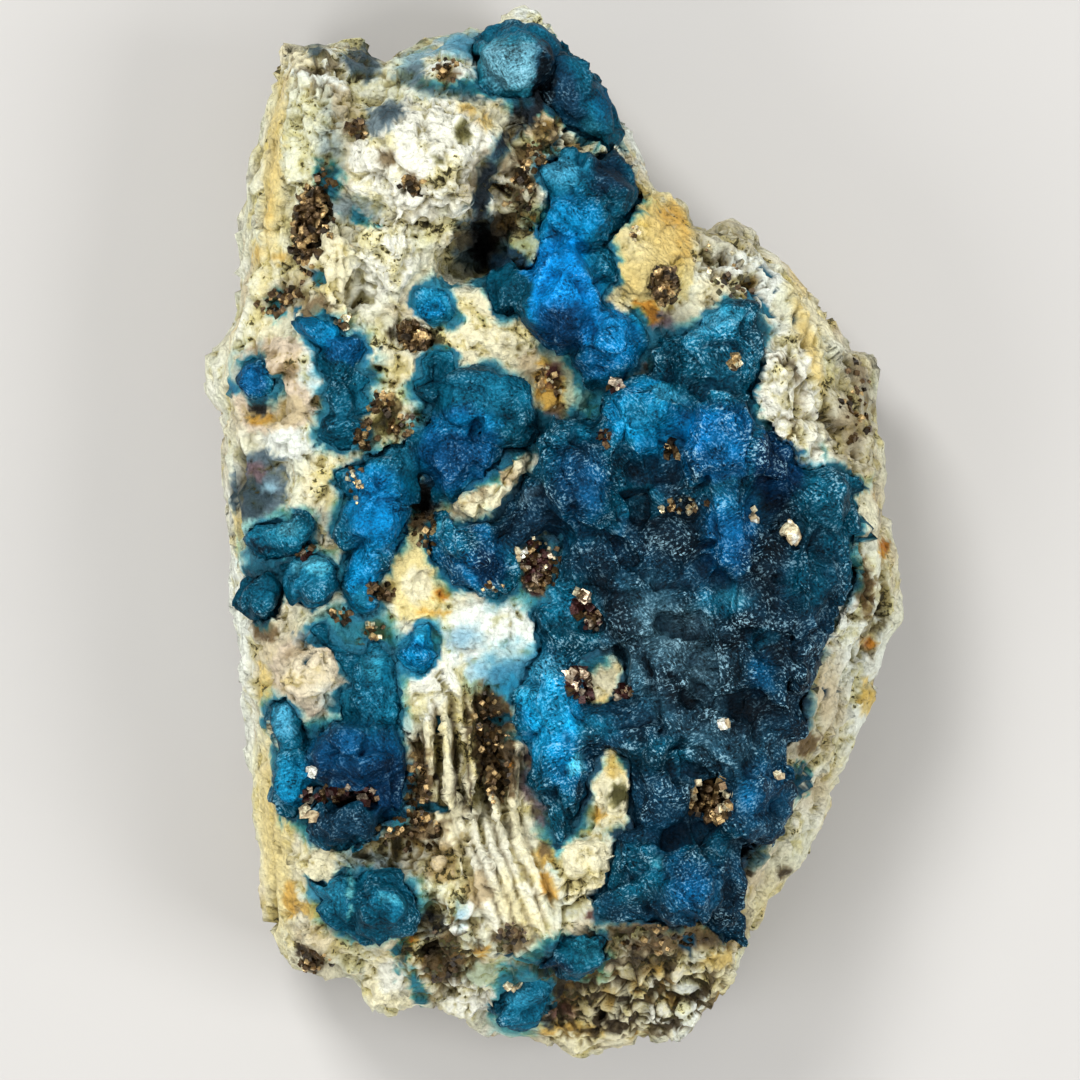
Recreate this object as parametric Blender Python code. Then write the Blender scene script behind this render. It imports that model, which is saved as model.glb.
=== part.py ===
"""Afghanite crystals on a hand specimen of white marble, lying on its broken back.

X runs across the stone, Y along it and Z up, from the flat back to the crystal face. Lengths
are written in millimetres and are turned into metres by MM where a mesh is made.
"""

import math
import random
from dataclasses import dataclass, replace

import bmesh
import bpy
from mathutils import Euler, Vector, noise
from mathutils.geometry import delaunay_2d_cdt

MM = 0.001

# Driving dimensions: the crystal face and the widest place over the back, the back's own inset,
# the spacing of the points that shape the face, and how a crystal sits in the marble.
FACE_LEVEL = 34.0
WIDEST_LEVEL = 13.5
BACK_INSET = 4.5
GRID_STEP = 3.5
GRID_JITTER = 0.22
GRID_MARGIN = 0.55
GRID_SEED = 11
SEAT_DEPTH = 4.0
GAP = 0.35
ABOVE_ALL = 70.0

# Crystals of one body reach this far into each other. Each one after the first is wider and
# higher by a hair, so that no two of their faces fall in one plane.
OVERLAP = 0.15
WIDER_EACH = 0.003
HIGHER_EACH = 0.013

# The stone as seen from above, clockwise from the horn at its top left.
OUTLINE = [
    (-31.2, 56.2), (-28.0, 56.2), (-25.0, 56.7), (-22.0, 55.8), (-19.5, 53.6), (-17.0, 55.3),
    (-14.0, 57.2), (-10.5, 57.4), (-7.0, 58.0), (-4.0, 60.0), (-2.0, 60.0), (0.3, 57.0),
    (2.5, 54.6), (5.0, 52.0), (7.2, 48.0), (9.7, 42.5), (11.3, 39.2), (14.2, 38.3), (16.0, 35.4),
    (18.0, 35.2), (20.4, 36.3), (23.0, 33.6), (26.5, 31.2), (28.5, 28.3), (31.5, 25.5),
    (33.3, 21.8), (36.2, 20.0), (36.7, 14.5), (37.5, 8.5), (37.5, 3.5), (39.2, -3.5),
    (39.7, -9.5), (38.3, -12.0), (36.3, -18.5), (33.3, -26.0), (31.2, -29.5), (29.8, -35.3),
    (28.3, -38.0), (24.4, -41.7), (22.0, -46.0), (20.4, -51.2), (17.0, -54.5), (14.5, -58.3),
    (10.0, -58.0), (6.0, -58.8), (2.5, -60.0), (-0.8, -57.8), (-4.0, -56.8), (-8.0, -56.3),
    (-12.0, -53.5), (-15.5, -53.2), (-18.5, -54.2), (-20.6, -52.9), (-22.6, -50.3),
    (-26.8, -50.0), (-30.2, -49.2), (-32.5, -45.0), (-33.7, -38.0), (-34.5, -31.0),
    (-35.3, -22.5), (-36.2, -14.0), (-37.1, -4.0), (-37.1, 3.0), (-37.6, 9.0), (-37.8, 14.0),
    (-39.7, 16.7), (-39.3, 21.5), (-36.8, 24.6), (-36.2, 28.0), (-35.5, 35.0), (-34.6, 41.0),
    (-33.4, 46.8), (-31.6, 51.5),
]


@dataclass(frozen=True)
class Edge:
    """How the crystal face ends near one place: x, y, setback of its rim, its level, its slope."""

    x: float
    y: float
    setback: float
    level: float
    slope_width: float = 7.0


EDGES = [
    Edge(-28.0, 56.0, 2.0, 30.5),
    Edge(-19.5, 53.5, 1.8, 29.0),
    Edge(-8.0, 57.5, 1.5, 28.5),
    Edge(-2.0, 60.0, 1.5, 27.5),
    Edge(6.0, 50.0, 2.0, 28.5),
    Edge(13.0, 38.7, 1.8, 29.5),
    Edge(20.4, 36.3, 2.0, 29.0),
    Edge(28.5, 28.3, 2.2, 29.0),
    Edge(35.5, 21.0, 2.4, 27.0),
    Edge(37.6, 8.5, 3.6, 30.5, 6.0),
    Edge(38.0, 0.0, 4.6, 31.0, 5.0),
    Edge(39.9, -10.0, 6.6, 31.0, 5.0),
    Edge(36.3, -18.5, 5.4, 31.0, 5.0),
    Edge(31.5, -29.0, 5.6, 30.5, 5.0),
    Edge(28.5, -37.5, 5.8, 30.0, 5.0),
    Edge(22.0, -46.0, 2.6, 27.0),
    Edge(15.5, -57.0, 2.0, 18.0, 13.0),
    Edge(4.0, -59.8, 2.0, 16.5, 15.0),
    Edge(-9.0, -55.5, 2.0, 21.0, 9.0),
    Edge(-18.0, -54.0, 2.0, 23.0, 8.0),
    Edge(-27.0, -50.0, 2.0, 26.0),
    Edge(-32.5, -45.0, 3.8, 28.0),
    Edge(-34.5, -31.0, 4.2, 29.0),
    Edge(-35.3, -22.0, 3.4, 30.0),
    Edge(-36.5, -10.0, 2.6, 31.0),
    Edge(-37.0, 1.0, 2.6, 31.0),
    Edge(-37.7, 14.0, 2.2, 30.0),
    Edge(-39.5, 18.5, 2.4, 27.0),
    Edge(-36.0, 27.0, 2.0, 30.0),
    Edge(-35.0, 40.0, 3.2, 31.0),
    Edge(-31.0, 53.0, 2.2, 31.0),
]

# Rings round the stone below its widest level, as level and inset, from the back upward.
BACK_RINGS = [(0.0, BACK_INSET), (1.6, 2.6), (4.6, 0.8), (8.8, 0.2)]
# Rings between the widest level and the rim, as a share of that rise and of the rim's setback.
SIDE_RINGS = [(0.2, 0.15), (0.4, 0.45), (0.6, 0.5), (0.8, 0.8)]


@dataclass(frozen=True)
class Lump:
    """A rise or a hollow of the marble: place, half widths, turn in degrees, height, flatness."""

    x: float
    y: float
    half_x: float
    half_y: float
    turn: float
    rise: float
    flatness: float = 2.0

    def height(self, x, y):
        turn = math.radians(self.turn)
        along = (x - self.x) * math.cos(turn) + (y - self.y) * math.sin(turn)
        across = (y - self.y) * math.cos(turn) - (x - self.x) * math.sin(turn)
        distance = math.hypot(along / self.half_x, across / self.half_y)
        return self.rise * (1.0 - distance**self.flatness) if distance < 1.0 else 0.0


LUMPS = [
    # The white lobe of the upper left, the columns below it and the deep recess beside it.
    Lump(-14.5, 42.0, 10.0, 8.0, -15, 7.0, 3.0),
    Lump(-27.8, 44.0, 3.6, 9.0, 0, 3.0),
    Lump(-25.2, 29.5, 2.7, 5.6, 0, 4.5, 4.0),
    Lump(-19.2, 31.5, 3.2, 4.2, 0, 5.0, 4.0),
    Lump(-22.6, 29.5, 1.0, 5.2, 0, -5.0),
    Lump(-8.3, 32.3, 4.0, 4.4, 0, -11.0, 4.0),
    Lump(-5.6, 41.5, 1.9, 7.5, -25, -4.5),
    Lump(-9.2, 37.6, 1.8, 2.0, 0, 4.0),
    Lump(-3.2, 32.2, 2.2, 2.8, 0, 4.0, 4.0),
    Lump(-3.4, 38.6, 3.0, 4.2, 0, 2.5),
    Lump(-1.6, 45.6, 3.2, 2.2, 0, 2.2),
    Lump(-2.6, 57.6, 3.8, 3.0, 20, 2.6),
    Lump(-24.0, 53.6, 5.6, 3.0, 0, 2.2),
    Lump(-12.6, 52.4, 3.0, 2.3, 0, 3.2),
    # The yellow lump, the granular shoulder and the pale block of the upper right.
    Lump(10.4, 32.0, 5.4, 8.2, 20, 4.6, 3.0),
    Lump(20.4, 31.0, 4.8, 5.6, 0, 2.8),
    Lump(28.6, 22.5, 1.9, 7.6, 10, 3.2, 3.0),
    Lump(26.4, 15.0, 3.4, 8.6, 10, 3.6, 4.0),
    Lump(33.6, 14.0, 3.2, 6.6, 0, -1.6),
    Lump(12.3, 23.0, 2.6, 2.6, 0, -1.5),
    # The cream ground between the crystals of the middle.
    Lump(-6.0, 22.0, 5.4, 3.6, 0, 1.8),
    Lump(0.2, 16.2, 1.8, 3.4, 0, -4.0),
    Lump(-14.7, 4.4, 2.0, 2.3, 0, -6.0, 4.0),
    Lump(-6.9, 5.9, 4.8, 1.7, 42, 3.4, 3.0),
    Lump(-16.4, -3.2, 2.6, 5.0, -20, 1.6),
    Lump(-13.6, -7.2, 4.8, 2.8, 0, 1.6),
    Lump(-7.0, -11.0, 6.0, 4.4, 20, 1.2),
    Lump(-15.0, -18.6, 2.8, 4.6, 0, 1.4),
    Lump(6.4, -17.2, 2.6, 2.6, 0, -1.2),
    # The tan lumps along the left edge.
    Lump(-30.6, 18.6, 4.2, 3.4, 0, 2.6),
    Lump(-28.4, 9.4, 3.6, 2.6, 0, 2.2),
    Lump(-27.2, 5.2, 3.0, 2.2, 0, 1.8),
    Lump(-33.4, 6.4, 2.4, 3.6, 0, -1.6),
    Lump(-33.6, 13.6, 1.8, 1.1, 0, -3.4),
    Lump(-29.6, -15.4, 5.2, 5.2, 0, 4.0, 3.0),
    # The lamellar ground, the cream lobes and the brown hollows of the lower half.
    Lump(-8.4, -25.6, 6.0, 7.4, 5, -3.2, 4.0),
    Lump(-5.6, -40.0, 5.4, 8.6, 22, 2.4, 3.0),
    Lump(6.6, -28.4, 2.8, 4.6, 0, 2.6, 3.0),
    Lump(6.8, -27.4, 1.2, 1.8, 0, -2.4),
    Lump(2.4, -38.0, 3.8, 4.4, 0, 2.6),
    Lump(-17.4, -35.6, 5.6, 3.0, 0, -2.2),
    Lump(-22.6, -36.8, 3.4, 1.8, 0, 1.6),
    Lump(-13.9, -43.8, 2.2, 2.0, 0, -9.0, 4.0),
    Lump(-26.2, -45.6, 3.0, 3.4, 20, 2.4),
    Lump(-18.6, -50.4, 3.0, 4.2, 15, 5.0, 3.0),
    Lump(-10.0, -52.2, 3.6, 2.8, -10, 5.0, 3.0),
    Lump(-10.6, -43.0, 2.0, 2.2, 0, 3.0),
    Lump(2.4, -52.4, 4.2, 3.6, 10, -4.0, 3.0),
    Lump(9.0, -48.6, 3.6, 1.5, 10, -3.4),
    Lump(1.6, -57.4, 3.6, 2.2, 0, 4.0),
    Lump(9.6, -54.4, 3.0, 3.4, 0, 3.4),
    Lump(15.4, -54.0, 2.2, 4.0, -20, 3.6),
    Lump(30.0, -16.6, 2.4, 4.4, 15, 2.6),
    Lump(27.0, -25.6, 2.4, 1.7, 20, 1.8),
]
LUMP_FADE = 3.0
ROUGHNESS_HEIGHT = 0.9
ROUGHNESS_WIDTH = 5.0

# The broken sides: slow waves that move a ledge out and up, and chips out of the lower rings.
SIDE_WAVE = 0.09
SIDE_JUT = 0.9
SIDE_LIFT = 2.0
LEAST_SHARE, MOST_SHARE = 0.15, 0.9
JUT_SEED_STEP = 40.0
LIFT_SEED = 50.0
CHIP_WAVE = 0.23
CHIP_DEPTH = 3.6


@dataclass(frozen=True)
class Blade:
    """A thin upright lamella of pale marble, from one end to the other."""

    start: tuple[float, float]
    end: tuple[float, float]
    rise: float = 2.6


BLADES = [
    Blade((-14.4, -19.0), (-13.4, -30.5), 1.6),
    Blade((-12.2, -19.4), (-11.4, -32.0), 3.2),
    Blade((-10.1, -20.0), (-9.3, -32.2), 3.4),
    Blade((-7.6, -25.0), (-6.2, -33.0), 3.2),
    Blade((-4.9, -21.5), (-4.5, -32.0), 2.6),
    Blade((-10.9, -34.0), (-10.3, -40.0), 1.6),
    Blade((-8.6, -35.5), (-4.6, -46.5), 1.6),
    Blade((-6.2, -34.5), (-2.4, -47.4), 1.5),
    Blade((-4.0, -35.0), (-0.8, -44.6), 1.4),
]
BLADE_FOOT = 1.7
BLADE_CREST = 0.8
BLADE_ROOT = 3.0
BLADE_END_SLOPE = 1.6


@dataclass(frozen=True)
class Crystal:
    """A crystal of many flat faces: its outline, and how far it stands over the marble round it."""

    outline: list[tuple[float, float]]
    rise: float = 2.2
    shoulder: float = 0.3
    crown: float = 0.55
    tilt: tuple[float, float] = (0.0, 0.0)


# How far a crystal leans off its middle, how unevenly it tilts, and how much it follows the slope.
LEAN = 0.25
TILT = 0.1
SLOPE_SHARE = 0.75
SLOPE_REACH = 2.5
MOST_SLOPE = 1.3

# A tall crystal has one more ring of faces: how far out it is, and its share of rise and lean.
TALL_RISE = 5.0
MIDDLE_OUT = 0.06
MIDDLE_RISE = 0.68
MIDDLE_LEAN = 0.45
GROWTH_SEED = 5

# Crystals that grew into each other make one body. The bodies lie apart in the marble.
BODIES = {
    "afghanite_crest": [
        Crystal([(-8.5, 54.9), (-7.0, 56.6), (-4.8, 57.6), (-2.2, 56.9), (-0.6, 55.2), (-0.9, 52.6),
                 (-3.0, 50.4), (-5.6, 49.9), (-7.9, 51.3)], 5.2, 1.0, 0.5, (0.0, -0.06)),
        Crystal([(-0.8, 55.2), (1.5, 54.2), (4.2, 51.6), (6.0, 48.8), (6.6, 46.0), (6.0, 44.0),
                 (3.6, 46.0), (1.0, 47.0), (-0.9, 49.3), (-1.4, 52.0)], 3.6, 0.8, 0.5, (-0.1, 0.0)),
    ],
    "afghanite_upper": [
        Crystal([(-1.6, 41.6), (1.2, 42.6), (4.8, 42.2), (5.5, 39.5), (3.4, 37.2), (0.2, 38.2)],
                3.6, 0.6),
        Crystal([(4.4, 42.2), (6.8, 43.2), (8.0, 40.4), (9.3, 38.4), (7.8, 35.8), (4.6, 36.6),
                 (3.8, 40.0)], 5.4, 0.8),
        Crystal([(0.0, 38.9), (4.8, 38.8), (7.8, 36.6), (5.6, 33.4), (3.4, 32.2), (0.2, 33.0),
                 (-1.6, 34.8)], 4.8, 0.8, 0.5, (0.05, 0.1)),
        Crystal([(0.0, 33.4), (1.8, 32.8), (3.4, 30.4), (5.2, 27.4), (4.9, 25.0), (2.6, 22.4),
                 (0.8, 20.8), (-1.0, 21.2), (-3.7, 24.4), (-3.2, 27.2), (-1.6, 31.0)],
                8.6, 2.6, 0.45, (0.04, 0.1)),
        Crystal([(2.7, 33.1), (4.6, 33.4), (6.4, 29.8), (6.2, 27.8), (4.4, 28.0), (3.2, 30.0)],
                3.4, 0.8),
        Crystal([(-6.7, 29.4), (-4.4, 30.2), (-1.6, 30.6), (-2.2, 26.6), (-3.2, 24.8), (-5.1, 25.2),
                 (-6.6, 26.2)], 2.6, 0.3),
        Crystal([(4.4, 26.0), (6.6, 25.8), (9.1, 24.0), (9.4, 21.8), (8.4, 19.2), (6.4, 17.9),
                 (3.7, 17.9), (1.9, 19.4), (2.8, 22.4)], 7.2, 1.8, 0.5, (0.06, 0.04)),
    ],
    "afghanite_arch": [
        Crystal([(-15.3, 19.7), (-13.8, 20.7), (-12.2, 20.3), (-11.6, 18.4), (-12.0, 15.6),
                 (-13.6, 14.2), (-15.4, 16.2)], 2.6),
        Crystal([(-12.4, 17.4), (-10.0, 18.6), (-7.4, 18.8), (-5.4, 17.4), (-2.8, 15.2),
                 (-2.3, 12.8), (-3.0, 10.9), (-5.6, 10.8), (-9.0, 12.2), (-12.6, 13.8)],
                5.6, 1.2, 0.5, (0.0, 0.05)),
        Crystal([(-15.4, 10.6), (-12.8, 14.4), (-8.0, 14.0), (-5.8, 11.4), (-6.2, 9.6),
                 (-9.0, 7.0), (-11.4, 5.0), (-12.6, 4.6), (-12.8, 6.4), (-15.0, 8.0)],
                4.4, 0.8, 0.5),
        Crystal([(-24.2, 7.0), (-21.8, 7.9), (-17.6, 9.2), (-15.2, 11.4), (-14.8, 8.4),
                 (-16.6, 5.2), (-20.0, 3.6), (-22.9, 4.6)], 3.6, 0.6),
        Crystal([(-23.6, 3.6), (-21.4, 6.8), (-17.2, 7.2), (-16.2, 5.6), (-17.4, 1.0),
                 (-18.8, -0.9), (-22.0, -1.6), (-23.8, 0.0)], 6.0, 1.4, 0.5, (0.06, 0.0)),
        Crystal([(-23.7, 0.6), (-18.6, 0.4), (-19.8, -2.8), (-20.4, -6.2), (-21.2, -8.4),
                 (-22.6, -8.6), (-23.4, -5.6), (-23.4, -2.4)], 3.0, 0.4),
    ],
    "afghanite_main": [
        # The low bed that carries the rest of the great dark mass.
        Crystal([(5.4, -8.8), (9.6, -19.2), (9.6, -25.2), (8.0, -32.6), (5.0, -40.0), (5.9, -42.0),
                 (13.2, -43.3), (16.3, -42.8), (19.4, -44.6), (20.4, -35.6), (26.0, -28.9),
                 (25.0, -23.6), (27.6, -21.6), (27.4, -17.3), (30.4, -11.2), (33.0, -5.8),
                 (33.6, -2.7), (28.0, 2.6), (17.0, 4.6), (8.0, 4.4), (4.6, -2.0)],
                0.5, -1.2, 0.92),
        # The tall crystals along its upper side.
        Crystal([(-1.7, 11.0), (0.2, 12.9), (3.4, 12.4), (5.6, 10.8), (7.7, 7.2), (8.4, 3.6),
                 (7.6, 0.6), (5.4, -0.6), (2.0, 1.2), (-0.4, 4.6), (-1.7, 8.0)],
                7.0, 1.6, 0.5, (-0.06, 0.06)),
        Crystal([(6.0, 14.8), (8.2, 17.0), (11.0, 17.4), (13.8, 17.0), (15.3, 15.2), (14.5, 12.2),
                 (12.4, 9.7), (9.4, 8.5), (7.0, 9.2), (5.8, 12.0)], 7.2, 1.8, 0.5, (-0.04, -0.06)),
        Crystal([(14.0, 10.8), (15.7, 14.3), (18.2, 15.8), (21.0, 15.0), (23.0, 12.4), (23.2, 8.6),
                 (21.6, 5.6), (18.0, 4.9), (15.4, 6.4), (13.8, 8.8)],
                8.8, 3.0, 0.62, (-0.03, -0.08)),
        Crystal([(16.8, 5.8), (21.3, 5.8), (22.4, 1.6), (23.0, -2.4), (21.4, -3.9), (18.4, -3.8),
                 (17.2, -2.0), (17.0, 2.0)], 6.2, 2.2, 0.66, (0.0, 0.1)),
        Crystal([(12.2, 22.2), (15.6, 23.2), (19.4, 25.3), (22.4, 25.8), (22.6, 22.0), (23.0, 18.4),
                 (22.0, 14.4), (18.6, 15.4), (14.0, 16.4), (12.2, 19.6)], 3.8, 0.6, 0.5),
        Crystal([(22.2, 14.2), (24.6, 10.4), (27.2, 8.4), (28.2, 6.6), (26.6, 4.2), (23.2, 4.4),
                 (21.8, 8.0)], 3.8, 0.8),
        Crystal([(27.4, 7.0), (31.0, 7.2), (33.6, 6.0), (33.8, 2.0), (33.2, -2.4), (30.0, -1.8),
                 (27.2, 0.6), (26.6, 4.2)], 2.4, 0.4),
        # The dark wedge and the blue lump to the left of them.
        Crystal([(-6.9, 1.4), (-4.6, 4.0), (-2.6, 6.2), (-0.6, 6.2), (1.2, 4.4), (1.4, 0.8),
                 (-1.9, -0.8), (-4.9, -0.6), (-6.9, -0.6)], 2.8, 0.4, 0.5, (0.0, 0.12)),
        Crystal([(-13.9, -0.6), (-12.8, 1.6), (-9.6, 1.4), (-6.2, 1.0), (-5.8, -1.8), (-4.9, -4.2),
                 (-6.0, -6.0), (-8.8, -5.8), (-11.6, -4.4), (-13.6, -2.8)], 5.2, 1.2, 0.5),
        # The low blocks of the mass, from its upper edge down.
        Crystal([(8.2, 8.8), (12.4, 9.8), (14.6, 7.4), (16.8, 4.6), (11.4, 3.0), (8.0, 3.8)], 2.4),
        Crystal([(1.2, 1.4), (6.6, 0.8), (7.4, -4.0), (5.8, -8.0), (2.6, -9.6), (0.4, -6.4),
                 (0.2, -2.6)], 3.0, 0.4),
        Crystal([(-1.4, -9.2), (2.6, -7.6), (3.8, -11.0), (2.4, -13.2), (-0.6, -12.6),
                 (-1.8, -10.8)], 1.8, 0.2),
        Crystal([(5.6, 0.4), (11.0, 3.2), (16.8, 2.4), (17.4, -3.6), (11.6, -5.6), (6.6, -3.0)],
                3.4),
        Crystal([(5.0, -3.0), (11.4, -4.0), (13.4, -9.4), (10.4, -13.0), (6.6, -12.4),
                 (4.4, -9.0)], 4.6, 0.5),
        Crystal([(11.0, -4.4), (17.6, -3.2), (20.4, -6.4), (18.4, -11.0), (12.8, -11.4)], 3.2),
        Crystal([(17.4, -3.0), (22.6, -3.4), (25.4, -6.8), (23.6, -11.4), (18.4, -10.8)], 3.8),
        Crystal([(22.4, 3.4), (27.4, 2.6), (29.4, -1.8), (27.4, -6.8), (23.0, -5.2),
                 (22.2, -1.0)], 2.8),
        Crystal([(27.2, 0.4), (32.8, -1.6), (33.2, -5.4), (31.0, -9.4), (27.6, -8.6),
                 (26.0, -4.4)], 4.0),
        Crystal([(24.0, -5.6), (29.6, -7.2), (30.6, -11.0), (28.0, -12.4), (25.0, -13.8),
                 (22.6, -10.0)], 3.4),
        Crystal([(8.6, -11.0), (14.8, -10.4), (17.8, -14.4), (15.6, -19.8), (10.4, -20.2),
                 (9.0, -16.0)], 3.6),
        Crystal([(15.6, -10.4), (23.4, -10.6), (25.4, -14.4), (23.0, -19.6), (17.0, -19.4)], 4.2),
        Crystal([(22.6, -12.4), (27.2, -13.6), (27.9, -18.0), (26.4, -22.2), (22.4, -20.0)], 3.4),
        Crystal([(0.8, -20.2), (10.4, -19.0), (12.4, -22.8), (9.8, -24.8), (5.4, -23.4), (1.2, -22.8)],
                2.6),
        Crystal([(10.0, -19.2), (17.0, -18.8), (18.4, -24.4), (15.0, -28.0), (9.9, -27.4)], 4.2),
        Crystal([(16.6, -18.8), (23.6, -19.8), (24.6, -25.4), (21.0, -28.6), (17.0, -26.4)], 3.8),
        Crystal([(9.4, -26.0), (15.6, -26.8), (16.4, -33.0), (12.0, -35.4), (8.3, -34.0)], 3.0),
        Crystal([(17.6, -26.6), (24.2, -25.2), (25.9, -29.0), (23.2, -34.0), (19.4, -35.4),
                 (17.0, -31.6)], 4.0),
        Crystal([(7.8, -33.4), (13.0, -34.2), (14.0, -39.4), (10.4, -42.6), (5.4, -41.4),
                 (6.0, -38.0)], 3.6),
        Crystal([(12.4, -36.2), (15.8, -34.4), (18.4, -37.0), (17.8, -41.2), (15.6, -43.3),
                 (12.6, -43.0), (11.0, -39.4)], 6.6, 1.0, 0.5),
        Crystal([(16.6, -33.4), (20.4, -34.4), (20.5, -39.4), (20.2, -46.4), (17.8, -44.0),
                 (16.8, -39.0)], 2.8, 0.2, 0.55, (-0.06, 0.0)),
        # The blue strip that joins it from the left.
        Crystal([(-2.6, -14.4), (-0.4, -13.3), (1.1, -14.8), (1.8, -19.2), (2.8, -22.8),
                 (-0.6, -23.4), (-3.2, -20.0), (-3.4, -16.4)], 4.6, 0.8, 0.5),
        Crystal([(-3.0, -21.4), (2.8, -20.8), (3.2, -25.6), (2.6, -29.4), (2.2, -32.6),
                 (0.6, -33.9), (-0.6, -31.0), (-1.8, -26.2)], 3.8, 0.6, 0.5),
    ],
    "afghanite_lower_left": [
        Crystal([(-27.3, -24.6), (-25.6, -21.8), (-22.0, -20.9), (-19.4, -21.6), (-17.2, -24.0),
                 (-17.4, -27.6), (-21.0, -28.4), (-24.6, -28.0), (-27.0, -27.6)], 7.0, 1.8, 0.5),
        Crystal([(-20.6, -25.8), (-17.4, -25.0), (-16.9, -28.6), (-17.0, -31.4), (-19.6, -31.6),
                 (-20.8, -29.0)], 3.8, 0.8),
        Crystal([(-26.8, -30.7), (-21.0, -30.2), (-19.2, -31.0), (-21.2, -33.6), (-23.6, -34.5),
                 (-26.2, -34.7), (-27.7, -33.0)], 3.4, 0.6),
        Crystal([(-27.2, -10.6), (-25.8, -9.9), (-24.4, -12.0), (-22.0, -13.0), (-21.2, -16.4),
                 (-22.6, -17.2), (-24.6, -14.2), (-26.6, -12.0)], 2.4, 0.2),
        Crystal([(-22.6, -13.2), (-20.4, -12.4), (-18.6, -13.4), (-18.2, -17.0), (-18.3, -20.2),
                 (-20.4, -22.2), (-23.4, -20.4), (-22.8, -17.0)], 3.0, 0.4),
        Crystal([(-31.9, -19.6), (-30.4, -19.1), (-29.2, -21.0), (-28.0, -24.8), (-29.6, -25.8),
                 (-30.6, -24.6), (-31.2, -21.8)], 3.0, 0.8),
        Crystal([(-30.4, -24.4), (-28.2, -24.4), (-26.8, -26.4), (-27.6, -28.8), (-28.2, -30.2),
                 (-29.6, -31.2), (-31.0, -30.9), (-31.2, -29.2), (-30.8, -26.6)],
                4.6, 1.4, 0.6),
    ],
    "afghanite_bottom_left": [
        Crystal([(-27.0, -39.2), (-23.6, -38.9), (-21.8, -41.0), (-23.2, -43.8), (-25.2, -42.2)],
                3.0, 0.4, 0.6, (0.12, 0.0)),
        Crystal([(-22.8, -39.8), (-20.6, -38.6), (-17.6, -38.8), (-16.0, -40.4), (-15.9, -42.4),
                 (-17.2, -44.4), (-19.4, -43.8), (-22.0, -43.0)], 4.6, 0.8, 0.5),
        Crystal([(-22.2, -42.4), (-19.6, -42.4), (-19.2, -44.8), (-20.8, -45.6), (-22.4, -44.6)],
                2.8, 0.4),
    ],
    "afghanite_left_round": [
        Crystal([(-30.1, -5.0), (-29.0, -2.9), (-27.0, -2.5), (-25.2, -3.2), (-25.0, -5.0),
                 (-26.0, -7.0), (-28.0, -7.9), (-29.6, -6.8)], 5.0, 1.4, 0.5),
    ],
    "afghanite_left_edge": [
        Crystal([(-35.0, -7.4), (-34.0, -5.6), (-32.4, -4.9), (-31.1, -6.0), (-31.6, -8.0),
                 (-32.7, -9.0), (-34.0, -8.8)], 4.0, 1.2, 0.6),
    ],
    "afghanite_left_patch": [
        Crystal([(-34.0, 0.6), (-31.4, 1.4), (-28.2, 1.9), (-27.6, 0.0), (-28.6, -1.4),
                 (-31.0, -2.0), (-33.4, -1.7)], 2.6, 0.4),
    ],
    "afghanite_upper_left": [
        Crystal([(-29.2, 24.5), (-26.6, 25.0), (-24.4, 23.6), (-24.6, 21.0), (-26.4, 21.6),
                 (-28.8, 23.6)], 3.4, 0.6),
        Crystal([(-26.0, 22.6), (-22.8, 22.0), (-21.0, 21.0), (-23.4, 19.9), (-24.4, 18.1),
                 (-25.6, 19.0)], 3.0, 0.4),
    ],
    "afghanite_left_small": [
        Crystal([(-25.4, 16.4), (-24.0, 17.5), (-22.4, 16.8), (-21.6, 14.8), (-22.2, 12.6),
                 (-24.0, 10.4), (-26.2, 10.8), (-25.4, 13.6)], 3.2, 0.5),
    ],
    "afghanite_left_knob": [
        Crystal([(-35.0, 16.4), (-34.0, 15.9), (-33.0, 17.0), (-33.2, 19.0), (-34.3, 19.2),
                 (-35.0, 17.8)], 2.2, 0.6),
    ],
    "afghanite_middle_small": [
        Crystal([(-17.4, -12.0), (-15.6, -10.0), (-14.2, -9.9), (-13.9, -12.4), (-14.8, -15.0),
                 (-16.4, -14.2)], 3.4, 0.5),
    ],
    "afghanite_upper_patch": [
        Crystal([(-15.3, 27.2), (-12.5, 27.4), (-12.1, 25.6), (-13.9, 24.7), (-15.0, 25.8)],
                1.8, 0.3),
    ],
    "afghanite_foot_left": [
        Crystal([(-6.6, -53.4), (-4.6, -51.6), (-1.8, -50.2), (-1.0, -51.4), (-2.4, -53.6),
                 (-3.6, -55.8), (-5.4, -55.6), (-6.2, -54.8)], 1.8, 0.2, 0.5),
    ],
    "afghanite_foot_right": [
        Crystal([(-1.6, -48.9), (0.2, -47.8), (0.8, -46.0), (2.6, -45.1), (5.4, -45.6),
                 (4.6, -47.8), (2.4, -49.2), (0.2, -49.4)], 1.7, 0.2, 0.5),
    ],
}


@dataclass(frozen=True)
class Cluster:
    """A patch of small cubes grown together on a foot: place, half widths, turn, cube size."""

    x: float
    y: float
    half_x: float
    half_y: float
    turn: float
    cube: float
    count: int


CLUSTERS = {
    "pyrite_upper_left": Cluster(-27.6, 35.2, 1.9, 4.6, -8, 1.9, 7),
    "pyrite_upper_right": Cluster(12.2, 28.2, 1.4, 2.1, 10, 1.6, 3),
    "pyrite_middle_left": Cluster(-16.0, 22.6, 1.4, 2.1, 65, 1.6, 3),
    "pyrite_centre": Cluster(-2.6, -4.2, 1.3, 2.0, -10, 1.6, 3),
    "pyrite_chain_upper": Cluster(4.0, -9.0, 0.9, 2.2, 33, 1.6, 3),
    "pyrite_chain_lower": Cluster(3.3, -16.6, 0.9, 2.1, 30, 1.6, 3),
    "pyrite_lower_right": Cluster(17.4, -29.4, 1.8, 1.8, 0, 1.5, 5),
}
CLUSTER_SIDES = 7
CLUSTER_DEPTH = 2.6
FOOT_RISE = 0.5

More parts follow.
